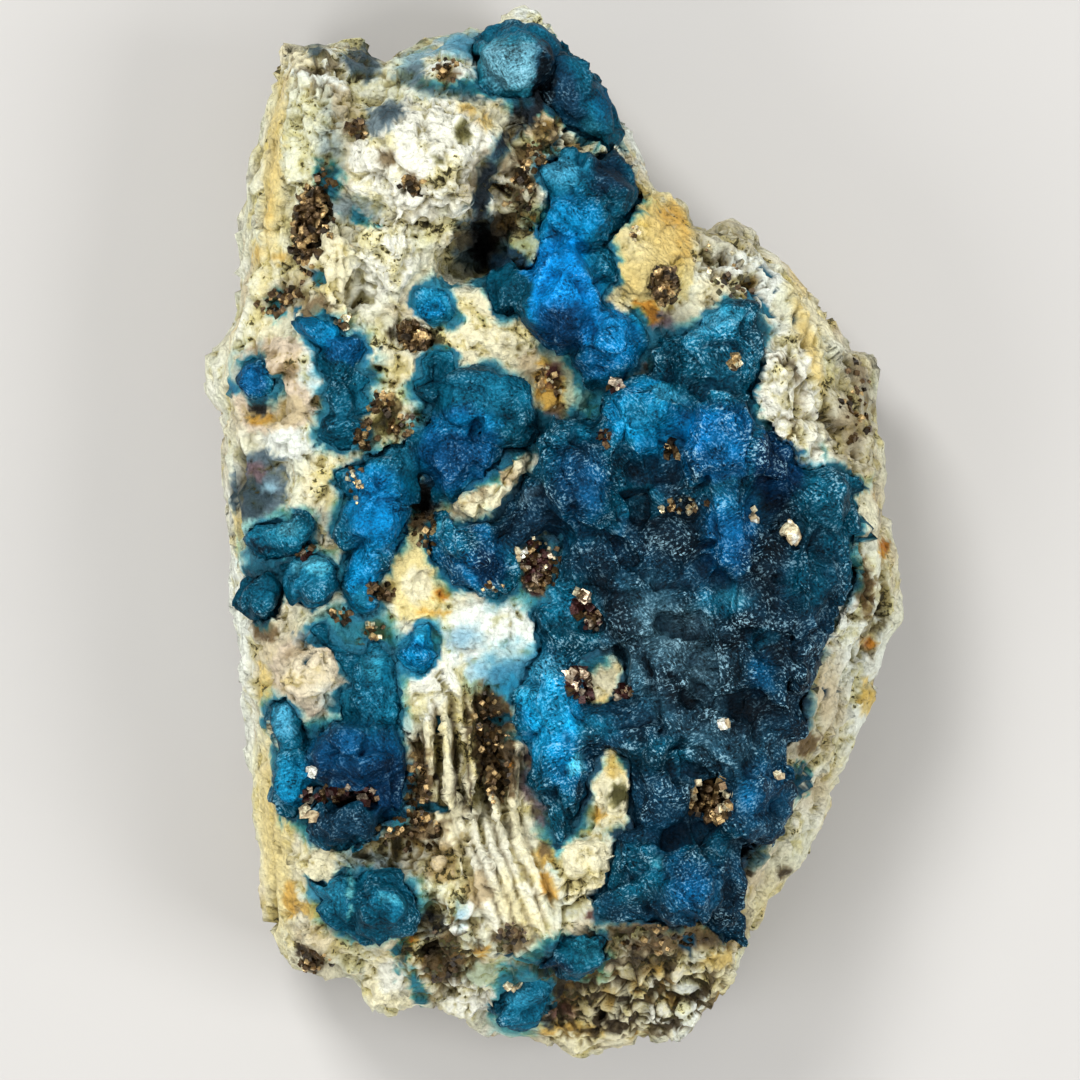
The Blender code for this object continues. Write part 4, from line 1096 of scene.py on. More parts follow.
EDGES: list[tuple[Shade, Patch]] = [
    (Shade.SNOW, Patch(35, -16, 4.4, 17, 12, 0.9, 1.5)), (Shade.SNOW, Patch(-37, -12, 2.6, 18, 0, 0.9, 1)),
    (Shade.YELLOW, Patch(-36.2, 0.4, 0.6, 2.8, 0, 0.7, 0.6)),
    (Shade.BUTTER, Patch(-31.6, 42, 1.7, 9, -4, 0.9, 1)),
    (Shade.YELLOW, Patch(-31.9, 42, 0.6, 8.6, -4, 0.6, 0.8)),
    (Shade.YELLOW, Patch(28.6, 22.4, 1.2, 6.8, 10, 0.8, 1)), (Shade.CREAM, Patch(-31.6, -36, 1.8, 11, 4)),
    (Shade.BUTTER, Patch(-32, -34.6, 2, 10.4, 4, 0.8, 1)),
    (Shade.YELLOW, Patch(-32.2, -33, 1.1, 7.6, 4, 0.35, 1)), (Shade.SNOW, Patch(-2.4, 58.6, 2.6, 1.7)),
    (Shade.SNOW, Patch(5.2, 53.6, 1, 4.6, 32)), (Shade.SNOW, Patch(9.3, 45.4, 1, 4.8, 25)),
]

STAINS: list[tuple[Shade, Patch]] = [
    # Blue ground between the crystals.
    (Shade.TEAL, Patch(3.6, 15.6, 5.6, 6, 0, 0.75, 2)),
    (Shade.DEEP_TEAL, Patch(-4.6, 28.4, 3, 4.6, 0, 0.9, 1.2)),
    (Shade.TEAL, Patch(5.4, 34, 4, 5, 20, 0.8, 1.2)), (Shade.DEEP_TEAL, Patch(13.6, 11, 8, 6, 0, 1, 1.2)),
    (Shade.TEAL, Patch(18, 18, 7, 6, 0, 0.9, 1.2)), (Shade.DEEP_TEAL, Patch(26, 8, 4, 4.6, 0, 1, 1)),
    (Shade.TEAL, Patch(-9, 12, 7, 6.4, 20, 1, 1)), (Shade.TEAL, Patch(-19, 4, 4, 6, 0, 0.8, 1)),
    (Shade.NAVY, Patch(16, -14, 13, 26, 0, 1, 1)), (Shade.DEEP_TEAL, Patch(-3, -2, 6, 4, 0, 0.6, 2)),
    (Shade.TEAL, Patch(-1.6, -11, 4, 5, 0, 0.8, 1.5)), (Shade.TEAL, Patch(-24.6, 17, 1.6, 6, 0, 0.6, 1.5)),
    (Shade.TEAL, Patch(-22, -14, 5, 6, 20, 0.7, 1.5)), (Shade.TEAL, Patch(-30, -1, 5, 3.6, 0, 0.6, 1.5)),
    (Shade.DEEP_TEAL, Patch(-24.4, -28, 6.6, 7, 0, 0.9, 1)),
    (Shade.TEAL, Patch(-21, -41.6, 6, 4, 0, 0.8, 1.2)), (Shade.TEAL, Patch(0.6, -27.6, 3, 8, 0, 0.8, 1)),
    (Shade.DEEP_TEAL, Patch(1.6, -48.4, 4.6, 3, 0, 0.9, 1)),
    (Shade.TEAL, Patch(-4.4, -52.6, 3, 4.4, 0, 0.7, 1)), (Shade.DEEP_TEAL, Patch(1, 50, 6, 7, 20, 1, 1)),
    # Upper half.
    (Shade.WHITE, Patch(-14.4, 41.6, 9, 7.6, -15)), (Shade.WHITE, Patch(26.4, 15, 3.4, 9, 10)),
    (Shade.WHITE, Patch(-19.2, 31.5, 3.2, 4.4)), (Shade.PALE_GREEN, Patch(-27.8, 45, 3, 9)),
    (Shade.CREAM, Patch(-25.2, 29.5, 2.4, 5.4)), (Shade.CREAM, Patch(-7, 22.5, 6, 4.4)),
    (Shade.CREAM, Patch(-3.6, 19.4, 3, 2)), (Shade.WHITE, Patch(-8.6, 37.6, 2.4, 3.2)),
    (Shade.CELADON, Patch(-3.2, 32.2, 2, 2.6)), (Shade.GREY, Patch(-3.8, 37.8, 2.6, 4.6, 0, 0.7)),
    (Shade.CELADON, Patch(-2.8, 35.6, 1.2, 1.6, 0, 0.7)), (Shade.TAN, Patch(-1.4, 45.8, 2.6, 1.9)),
    (Shade.PALE_GREEN, Patch(2.6, 44.6, 2.2, 1.9)), (Shade.CREAM, Patch(2.6, 44, 1.6, 1.6)),
    (Shade.BROWN, Patch(-3.2, 42.4, 0.9, 1.2, 0, 0.6)), (Shade.SNOW, Patch(-25, 53.6, 5.6, 2.4)),
    (Shade.STEEL, Patch(-21.9, 54, 2, 2.6, 0, 0.9)), (Shade.STEEL, Patch(-27.2, 55.2, 1.2, 1.4, 0, 0.8)),
    (Shade.CREAM, Patch(-29.2, 54.4, 1.4, 1.4)), (Shade.HAZE, Patch(-12, 53.6, 5.6, 3.6, 10, 0.8, 1)),
    (Shade.DEEP_TEAL, Patch(-8.8, 50.6, 5.6, 0.8, -8, 0.7)),
    (Shade.GREY_BLUE, Patch(-15.4, 52, 2, 1.6, 0, 0.7)), (Shade.POWDER, Patch(-14, 55, 3.4, 1, 25, 0.7)),
    (Shade.STEEL, Patch(-11, 49.8, 4.6, 0.5, -10, 0.6)), (Shade.SNOW, Patch(-12.4, 53, 2.8, 1.9)),
    (Shade.SNOW, Patch(-9.2, 52.4, 1.4, 1.2, 0, 0.7)), (Shade.SNOW, Patch(-13.6, 56.3, 2.2, 0.5, 25, 0.8)),
    (Shade.SKY, Patch(-9.6, 55.8, 2.6, 1.4, 0, 0.8, 0.8)),
    (Shade.BROWN, Patch(-12.2, 52.2, 1.2, 1, 0, 0.8)),
    (Shade.GREY_BLUE, Patch(-19.4, 47.2, 2.6, 1.7, 30, 0.8)),
    (Shade.STEEL, Patch(-18.8, 47.6, 1.4, 0.9, 20, 0.8)), (Shade.BROWN, Patch(-22.4, 46, 1.2, 1, 0, 0.8)),
    (Shade.GREY_BLUE, Patch(-25.2, 43, 1.2, 4.4, 0, 0.5, 1)),
    (Shade.DEEP_TEAL, Patch(-25.6, 40.2, 1.5, 1.9, 0, 0.9, 0.6)),
    (Shade.GREY_BLUE, Patch(-22.6, 37, 2.6, 1.2, -20, 0.6, 0.8)),
    (Shade.TEAL, Patch(-21.6, 35.8, 1.4, 0.8, -20, 0.7)), (Shade.BROWN, Patch(-16, 39.6, 0.9, 1, 0, 0.7)),
    (Shade.BROWN, Patch(-18.8, 42.4, 1, 0.7, 0, 0.6)), (Shade.OLIVE, Patch(-10, 45.4, 0.7, 1, 0, 0.8)),
    (Shade.OLIVE, Patch(-13, 42.2, 0.5, 0.4, 0, 0.8)),
    # Partly painted shade: the dark of the deep recess under the big lobe and of the valley above it is
    # painted in black, ink, navy and umber, over some real dark blue and brown.
    (Shade.NAVY, Patch(-6.4, 43, 0.7, 3.2, -30, 0.7, 0.8)),
    (Shade.UMBER, Patch(-8.6, 40.6, 0.7, 1.8, -30, 0.6, 0.8)),
    (Shade.BROWN, Patch(-6, 41.4, 0.7, 2, -40, 0.5, 0.6)), (Shade.INK, Patch(-4.4, 46.4, 0.6, 3, -35)),
    (Shade.STEEL, Patch(-8, 39.6, 0.5, 2.2, -20, 0.7, 0.6)), (Shade.INK, Patch(-3, 49, 1.6, 4, -20)),
    (Shade.STEEL, Patch(-8.4, 33.2, 3.2, 3.2, 0, 0.7)), (Shade.BROWN, Patch(-10.8, 33.8, 1, 1.2, 0, 0.6)),
    (Shade.BLACK, Patch(-8, 33, 1.6, 1.9)), (Shade.UMBER, Patch(-6.2, 34.8, 1.2, 1.5, 0, 0.8)),
    (Shade.BLACK, Patch(-7, 30.4, 1.6, 0.8)), (Shade.BLACK, Patch(-8.4, 36, 0.6, 1.4, -15)),
    (Shade.INK, Patch(-8, 38.6, 1, 2.6, -10, 0.8)), (Shade.NAVY, Patch(-5.4, 30.4, 2.4, 2, 0, 0.9)),
    (Shade.BUTTER, Patch(10.6, 32.4, 4.6, 7.4, 20)),
    (Shade.YELLOW, Patch(12.8, 34.6, 2.2, 3.8, 20, 0.8, 1.2)),
    (Shade.YELLOW, Patch(9.4, 33, 4, 6.4, 20, 0.45, 1.5)),
    (Shade.CREAM, Patch(8.4, 34, 1.6, 3.2, 20, 0.5, 1.2)),
    (Shade.OCHRE, Patch(13.4, 36.6, 1.4, 1.4, 0, 0.8, 1)), (Shade.OCHRE, Patch(15, 33.4, 1, 2, 0, 0.7, 1)),
    (Shade.YELLOW, Patch(8.4, 27.4, 1.8, 1.6, 20, 0.7, 1)),
    (Shade.GREY, Patch(19.6, 33.6, 4, 2.6, 0, 0.7, 1)),
    (Shade.SNOW, Patch(19.6, 30.6, 2.4, 2.4, 0, 0.8, 0.8)), (Shade.SNOW, Patch(22.6, 28.6, 3, 3.6)),
    (Shade.CREAM, Patch(18, 27.6, 2, 2)), (Shade.CREAM, Patch(30.4, 24.6, 1.4, 3, 30)),
    (Shade.GREY, Patch(33.6, 13.6, 3.2, 7.2, 0, 0.8)), (Shade.BROWN, Patch(33.4, 12.4, 1.6, 3, 0, 0.3, 1)),
    (Shade.BROWN, Patch(34.6, 19, 1.2, 1.4, 0, 0.4, 1)),
    (Shade.OCHRE, Patch(-9.7, 48.2, 0.6, 0.4, 0, 0.7, 0.6)),
    (Shade.OCHRE, Patch(-8, 46.7, 0.5, 0.8, 20, 0.7, 0.6)),
    (Shade.OCHRE, Patch(-33.8, 32, 0.6, 1, 0, 0.6, 0.6)),
    (Shade.OCHRE, Patch(-31, 31.5, 0.6, 0.5, 0, 0.7, 0.6)),
    (Shade.OCHRE, Patch(-32.4, 36, 0.3, 2, -4, 0.4, 0.6)),
    (Shade.MAUVE, Patch(11.2, 21.6, 2.8, 3.8, 0, 0.9)), (Shade.ORANGE, Patch(10.2, 25, 1.6, 1.4, 0, 0.8)),
    (Shade.BROWN, Patch(12.8, 19.6, 1.4, 1.6)), (Shade.TAN, Patch(-1, 17, 3.2, 4, 15, 0.9)),
    (Shade.OCHRE, Patch(-0.4, 16, 1.6, 3.2, 15, 0.9)), (Shade.MAROON, Patch(-0.2, 18, 1, 1.3)),
    (Shade.BROWN, Patch(0.4, 14, 1, 0.9)), (Shade.CELADON, Patch(2.4, 15.8, 1.2, 1.6, 0, 0.8)),
    (Shade.MAROON, Patch(6.6, 17, 1.3, 1)), (Shade.MAUVE, Patch(-0.2, 12.8, 1.4, 0.9)),
    (Shade.POWDER, Patch(9, 18.4, 1.6, 1, 0, 0.6)), (Shade.PINK_TAN, Patch(-31.5, 17, 5.4, 5.4)),
    (Shade.TAN, Patch(-31, 14, 3, 2)), (Shade.SNOW, Patch(-29.6, 10.6, 3, 1.8)),
    (Shade.SNOW, Patch(-27.6, 19, 1.2, 2.4)), (Shade.BROWN, Patch(-30.6, 18.4, 1.3, 0.9, 0, 0.5)),
    (Shade.BROWN, Patch(-33, 20.6, 1.2, 0.6, 0, 0.4)), (Shade.GREY_BLUE, Patch(-33.6, 6, 3.2, 3.8)),
    (Shade.STEEL, Patch(-34.4, 4.4, 2.4, 2.4)), (Shade.MAUVE, Patch(-34, 7.4, 1.1, 0.9)),
    (Shade.POWDER, Patch(-32.4, 5.5, 0.9, 0.5)), (Shade.OCHRE, Patch(-33.4, 13.2, 1.2, 0.7)),
    (Shade.BLACK, Patch(-33.6, 14.3, 1, 0.6)), (Shade.GREY, Patch(-25.6, 0.6, 1.9, 2.6)),
    (Shade.CREAM, Patch(-26, 6, 2.6, 3.2)), (Shade.UMBER, Patch(-15.4, 22.2, 3, 1.2, -15, 0.8)),
    (Shade.CREAM, Patch(-10, 25, 4, 2.4)), (Shade.OLIVE, Patch(-18.6, 12.6, 2, 1.6, 0, 0.7)),
    (Shade.CREAM, Patch(-18.4, 17.6, 3.4, 3.6, 0, 0.9)), (Shade.UMBER, Patch(-21.4, 11.4, 1, 1.6, 0, 0.7)),
    (Shade.COBALT, Patch(-31.4, 26, 1, 1.8, 0, 0.6)), (Shade.UMBER, Patch(-30.6, 27, 2, 1.2, 20, 0.5, 1)),
    (Shade.BROWN, Patch(-27, 25.4, 1.6, 1.6, 0, 0.6)),
    # Middle.
    (Shade.BUTTER, Patch(-15.5, -4.4, 3.6, 5.2)), (Shade.CREAM, Patch(-15.5, -5.5, 1.8, 2)),
    (Shade.ORANGE, Patch(-12.5, -6.4, 0.8, 0.6)), (Shade.OCHRE, Patch(-13.5, -8.6, 1.4, 0.5)),
    (Shade.BLACK, Patch(-14.6, 4.6, 1.9, 2.2)), (Shade.BROWN, Patch(-14.8, 1.6, 2, 1)),
    (Shade.CREAM, Patch(-4.4, 8, 1.7, 1.9)), (Shade.CREAM, Patch(-8, 3.9, 2.9, 1.6, 30)),
    (Shade.TAN, Patch(-5.4, 6.6, 1.4, 1.2)), (Shade.BROWN, Patch(-8.8, 4.6, 1.2, 0.4, 42, 0.5)),
    (Shade.CREAM, Patch(-5.2, -1.6, 1.6, 1.5)), (Shade.BROWN, Patch(-1, -3, 2.6, 4.2, 0, 0.9)),
    (Shade.BUTTER, Patch(1.2, -1, 0.9, 2.4)), (Shade.MAROON, Patch(-2.6, -4.2, 1.3, 2.2, 0, 0.9)),
    (Shade.SNOW, Patch(-7.4, -11.4, 6, 4.6, 20, 1, 1)),
    (Shade.POWDER, Patch(-10.4, -11.4, 1.8, 1.2, 0, 1, 1)),
    (Shade.SKY, Patch(-4.4, -15.8, 4, 3.4, 0, 1, 1.5)),
    (Shade.AZURE, Patch(-4.8, -17.2, 1.6, 1.2, 0, 0.4, 1)),
    (Shade.SNOW, Patch(-5, -13.2, 2, 1, 20, 0.7, 0.7)), (Shade.POWDER, Patch(3.8, -13.6, 1.4, 1.4)),
    (Shade.CREAM, Patch(6.6, -16.6, 3, 3.6)), (Shade.PINK_TAN, Patch(8.6, -14.6, 1.2, 1.6, 0, 0.8, 0.6)),
    (Shade.BROWN, Patch(8.6, -17.8, 0.9, 1, 0, 0.5, 0.6)),
    (Shade.TEAL, Patch(4.8, -14.2, 1.5, 0.7, 30, 0.8, 0.5)),
    (Shade.YELLOW, Patch(5.6, -18.8, 1.6, 0.8, 20, 0.7, 0.6)),
    (Shade.BUTTER, Patch(8.4, -14.8, 1.4, 1, 0, 0.8, 0.8)),
    (Shade.OCHRE, Patch(5, -19.6, 1.4, 0.5, 20, 0.5, 0.6)), (Shade.PINK_TAN, Patch(-27.6, -15.6, 4.6, 4.4)),
    (Shade.CREAM, Patch(-27.6, -15.6, 3.6, 3.2, 0, 0.5, 1.5)),
    (Shade.SNOW, Patch(-25.4, -18, 1.6, 1.4, 0, 0.7, 0.8)),
    (Shade.BROWN, Patch(-29.6, -13.4, 1.2, 0.6, 20, 0.4, 0.6)),
    (Shade.BROWN, Patch(-33, -10.6, 1.6, 1.4, 0, 0.8)), (Shade.YELLOW, Patch(-33, -17, 0.6, 2.2, 0, 0.8)),
    (Shade.GREY_BLUE, Patch(-27.6, -11.4, 1.8, 0.9, 0, 0.8)), (Shade.WHITE, Patch(-13.6, -17.8, 3.2, 3.4)),
    (Shade.POWDER, Patch(-9, -15.6, 1.4, 2.2, 0, 0.6)), (Shade.UMBER, Patch(-19.8, -6.6, 1.6, 1.4, 0, 0.6)),
    (Shade.OLIVE, Patch(-20.4, -10.6, 1.4, 1.2, 0, 0.6)),
    # Right side.
    (Shade.SNOW, Patch(30.6, 6.8, 2.4, 1.4)), (Shade.BROWN, Patch(35.2, -5.6, 1, 2.6)),
    (Shade.ORANGE, Patch(35.7, -12.2, 0.9, 0.7)), (Shade.ORANGE, Patch(37.4, -1.2, 0.8, 0.8)),
    (Shade.YELLOW, Patch(36, -18.5, 1.2, 1.8)), (Shade.TAN, Patch(30.6, -17, 2, 5.4, 12, 0.7, 1.5)),
    (Shade.CREAM, Patch(28.2, -13.4, 1.6, 2.6)), (Shade.GREY, Patch(27, -24.8, 3, 2.6, 20)),
    (Shade.BROWN, Patch(28.4, -23.6, 1.8, 1.2, 20, 0.8)), (Shade.WHITE, Patch(25.2, -27, 1, 0.8)),
    (Shade.DEEP_TEAL, Patch(28, -27.6, 1.4, 1.8)), (Shade.UMBER, Patch(26.2, -38.5, 0.6, 0.5, 0, 0.8)),
    (Shade.UMBER, Patch(21.9, -38.2, 0.5, 0.5, 0, 0.8)), (Shade.YELLOW, Patch(18.6, -48.4, 1.8, 1.1)),
    (Shade.BUTTER, Patch(24, -42, 1.6, 3.2, -30, 0.5, 1.5)),
    # Lower half.
    (Shade.CREAM, Patch(-9.6, -28, 6.6, 9.6, 5)), (Shade.BROWN, Patch(-6.8, -23.4, 2.4, 6.2, 8, 0.95)),
    (Shade.UMBER, Patch(-7.4, -21, 1.7, 3.6, 8, 0.8)), (Shade.ORANGE, Patch(-5.4, -25.5, 0.6, 0.5)),
    (Shade.MAUVE, Patch(-2.2, -28, 1.3, 4.8, 8, 0.9)), (Shade.CREAM, Patch(-5.6, -38.6, 3.8, 8, 20)),
    (Shade.WHITE, Patch(-6.4, -38.4, 3.4, 8, 20, 0.7, 1)),
    (Shade.BUTTER, Patch(-4.6, -42, 1.6, 4, 20, 0.5, 1)),
    (Shade.ORANGE, Patch(-0.9, -39.2, 0.4, 2, 16, 0.6)),
    (Shade.OCHRE, Patch(-1.2, -35.6, 1.1, 1.3, 0, 0.7)),
    (Shade.BROWN, Patch(-1.2, -35.2, 0.6, 0.7, 0, 0.8)), (Shade.TAN, Patch(-8.8, -40, 1.4, 2.2)),
    (Shade.BROWN, Patch(-4.8, -45.6, 2.2, 1.8, 0, 0.6)), (Shade.CREAM, Patch(6.4, -28.6, 3.2, 4.6)),
    (Shade.YELLOW, Patch(6.8, -26, 1.3, 1.5, 0, 0.8)), (Shade.OLIVE, Patch(7.4, -29, 0.9, 1.1)),
    (Shade.OCHRE, Patch(4.6, -31.4, 1.1, 0.9)), (Shade.OCHRE, Patch(3.5, -33.8, 1, 0.8)),
    (Shade.CREAM, Patch(3.4, -37.6, 3.2, 4.2)), (Shade.SNOW, Patch(3.4, -43.4, 2.6, 1.8, 0, 0.7, 0.8)),
    (Shade.TAN, Patch(3, -44.4, 2.2, 0.9, 0, 0.6, 0.8)),
    (Shade.MAROON, Patch(4.2, -42.8, 0.5, 0.4, 0, 0.6, 0.3)),
    (Shade.BROWN, Patch(12.4, -45.2, 7.8, 2, 3, 0.85, 1)),
    (Shade.GREY, Patch(14.6, -45.6, 1.6, 0.7, 0, 0.6, 0.8)),
    (Shade.UMBER, Patch(8, -44.6, 2.6, 0.8, 10, 0.6, 0.8)),
    (Shade.UMBER, Patch(18, -45.8, 2, 0.7, -10, 0.6, 0.8)),
    (Shade.UMBER, Patch(9.6, -48.8, 3, 1.4, 8, 0.9, 0.8)), (Shade.BUTTER, Patch(9.2, -51.8, 2.2, 1.3)),
    (Shade.CREAM, Patch(10, -53.4, 11, 4.4, 0, 0.8, 1.5)),
    (Shade.WHITE, Patch(15, -52.6, 4, 4, 0, 0.6, 1.5)), (Shade.UMBER, Patch(2.4, -52.4, 3.4, 2, 0, 0.6, 1)),
    (Shade.MAROON, Patch(1, -54, 1.8, 1, 0, 0.5, 0.8)),
    (Shade.OCHRE, Patch(5.8, -53, 1.2, 1.2, 0, 0.8, 0.6)),
    (Shade.OCHRE, Patch(1.6, -56.4, 2.6, 0.8, 0, 0.8, 0.6)),
    (Shade.OCHRE, Patch(11.6, -49.4, 1.4, 0.7, 0, 0.6, 0.8)),
    (Shade.ORANGE, Patch(9, -51.6, 0.8, 0.6, 0, 0.6, 0.5)),
    (Shade.OCHRE, Patch(4, -49.6, 1.2, 0.6, 0, 0.5, 0.6)), (Shade.BLACK, Patch(0.8, -51.3, 1, 1.4)),
    (Shade.BLACK, Patch(-0.7, -55.6, 0.8, 1)), (Shade.CREAM, Patch(1.8, -58.2, 3.4, 1.6)),
    (Shade.CREAM, Patch(8.4, -54.6, 1.6, 3.6)), (Shade.WHITE, Patch(11.6, -54, 1.4, 3.4)),
    (Shade.CREAM, Patch(4, -53.6, 1.8, 2.2, 0, 0.8, 0.8)),
    (Shade.BUTTER, Patch(18.4, -50.6, 1.8, 2.2, -20, 0.5, 1.5)),
    (Shade.SNOW, Patch(15.2, -54, 1.9, 4, -10)), (Shade.GREY, Patch(-17.4, -35, 5, 3.6)),
    (Shade.BROWN, Patch(-16.4, -33.2, 3.4, 1.5, 0, 0.7)),
    (Shade.SNOW, Patch(-20.4, -36, 2.6, 1, -10, 0.6, 0.8)),
    (Shade.GREY_BLUE, Patch(-21, -36.8, 3.4, 1.5, 0, 0.6)),
    (Shade.BROWN, Patch(-15.2, -28.6, 1.6, 4.8, 0, 0.9)), (Shade.TAN, Patch(-12.8, -37, 1.6, 2.4)),
    (Shade.BLACK, Patch(-13.9, -43.8, 1.6, 1.6)), (Shade.SNOW, Patch(-10.6, -42.8, 1.8, 2.2)),
    (Shade.POWDER, Patch(-10.6, -42.4, 0.9, 1.1, 0, 0.7)), (Shade.CREAM, Patch(-19, -51.2, 2.8, 3.6, 15)),
    (Shade.WHITE, Patch(-18.6, -50, 1.8, 2)), (Shade.WHITE, Patch(-10, -52.8, 3.2, 2.6)),
    (Shade.CELADON, Patch(-8.8, -49.6, 2.2, 1.4)), (Shade.ORANGE, Patch(-16.5, -46, 0.9, 0.9)),
    (Shade.OCHRE, Patch(-8.5, -47, 0.9, 0.7)), (Shade.BROWN, Patch(-12.6, -48, 2.4, 2.8, 0, 0.9)),
    (Shade.OCHRE, Patch(-30, -41.2, 0.8, 1.8, 0, 0.8)), (Shade.UMBER, Patch(-28.8, -47, 0.9, 0.8)),
    (Shade.CREAM, Patch(-27.4, -37.4, 2.6, 3)), (Shade.OCHRE, Patch(-27.8, -42.2, 1.8, 0.7, 0, 0.7)),
    (Shade.TAN, Patch(-26.4, -45.4, 2.4, 2.2, 0, 0.6, 1)),
    (Shade.UMBER, Patch(-27.6, -48.6, 1.4, 1.2, 0, 0.8)),
    (Shade.DEEP_TEAL, Patch(-17.4, -47, 0.8, 2.4, -10, 0.8)),
    (Shade.TEAL, Patch(-15.8, -51.4, 0.7, 2.4, 20, 0.7)), (Shade.MAROON, Patch(-23.8, -29.4, 4, 1)),
    (Shade.BLACK, Patch(-21.6, -29.2, 1.6, 0.8)),
]

LUMPS = [
    # In the dark recess under the big lobe, and along the valley above it.
    Lump(-10.4, 34.2, 1.9, 1.5, 2.2, 0.4), Lump(-6, 31.4, 1.8, 1.6, 2, 0.5),
    Lump(-9.8, 31.2, 1.6, 1.4, 1.8), Lump(-6.2, 35, 1.4, 1.8, 2.2, 0.4), Lump(-8.2, 37.6, 1.2, 1.6, 1.6),
    Lump(-7.8, 33, 1.5, 1.4, 1.4),
    # Upper half.
    Lump(-12.5, 52.4, 2.4, 1.7, 1.2), Lump(-3.2, 32.2, 1.6, 2.2, 1.4), Lump(-2.4, 43.4, 1.6, 1.8, 1.2),
    Lump(2.3, 15.7, 1.3, 1.5, 1.5, 0.4), Lump(-0.4, 18, 1.3, 1.5, 1.4, 0.4),
    Lump(-0.8, 15.2, 1.1, 1.3, 1.3, 0.3), Lump(6.6, 17, 1.3, 1, 1.4, 0.3), Lump(-19.2, 33.4, 2.6, 2.2, 1.4),
    Lump(-24.6, 30.4, 1.8, 3.4, 1.4), Lump(-13.6, 33.6, 2.6, 1.8, 1.6, 0.3), Lump(-21, 28, 2.2, 1.6, 1.2),
    Lump(-9.4, 25.6, 1.8, 1.2, 1),
    # Middle.
    Lump(-4.4, 8.2, 1.8, 1.8, 2, 0.6), Lump(-5.8, 6, 1.3, 1.5, 1.8, 0.5),
    Lump(-8.2, 3.8, 2.4, 1.3, 1.8, 0.5), Lump(13.6, 3.4, 2.6, 0.9, 1.2, 0.8),
    Lump(-5.2, -1.8, 1.5, 1.2, 1.2, 0.3), Lump(5.4, -17.8, 1.7, 1.8, 0.8), Lump(8, -15.4, 1.5, 1.9, 0.9),
    Lump(6, -14.8, 1.2, 1.2, 0.6), Lump(-30, 12, 2.6, 1.8, 1.4), Lump(-33.4, 18, 2, 2.6, 1.2),
    Lump(-28, -16, 3, 2.4, 1.2),
    # Foot.
    Lump(-18.8, -50.8, 2.6, 3.2, 1.6), Lump(-10.2, -52.8, 3, 2.2, 1.6), Lump(-12.8, -37, 1.2, 2, 1.3, 0.3),
    Lump(-10.6, -42.8, 1.8, 2.1, 1.4, 0.2), Lump(-27.4, -37, 2.6, 2, 1.4),
    Lump(-26.6, -44.6, 2.2, 2.2, 1.2), Lump(8.4, -53.6, 1, 2.6, 1.6, 0.3),
    Lump(15, -53.4, 1.5, 3.2, 1.6, 0.3), Lump(11.4, -54, 0.9, 2, 1.4, 0.2),
    Lump(9.4, -51.4, 1.3, 1.2, 1.4, 0.4), Lump(17.6, -51, 1.2, 2.2, 1.4, 0.2),
    Lump(5.6, -55.8, 1.6, 1.3, 1.3), Lump(3.6, -53.6, 1.4, 1.8, 1.4), Lump(6.6, -32.8, 2.6, 1.8, 1.2),
    Lump(3.2, -36.8, 2.2, 2.4, 1.2),
]

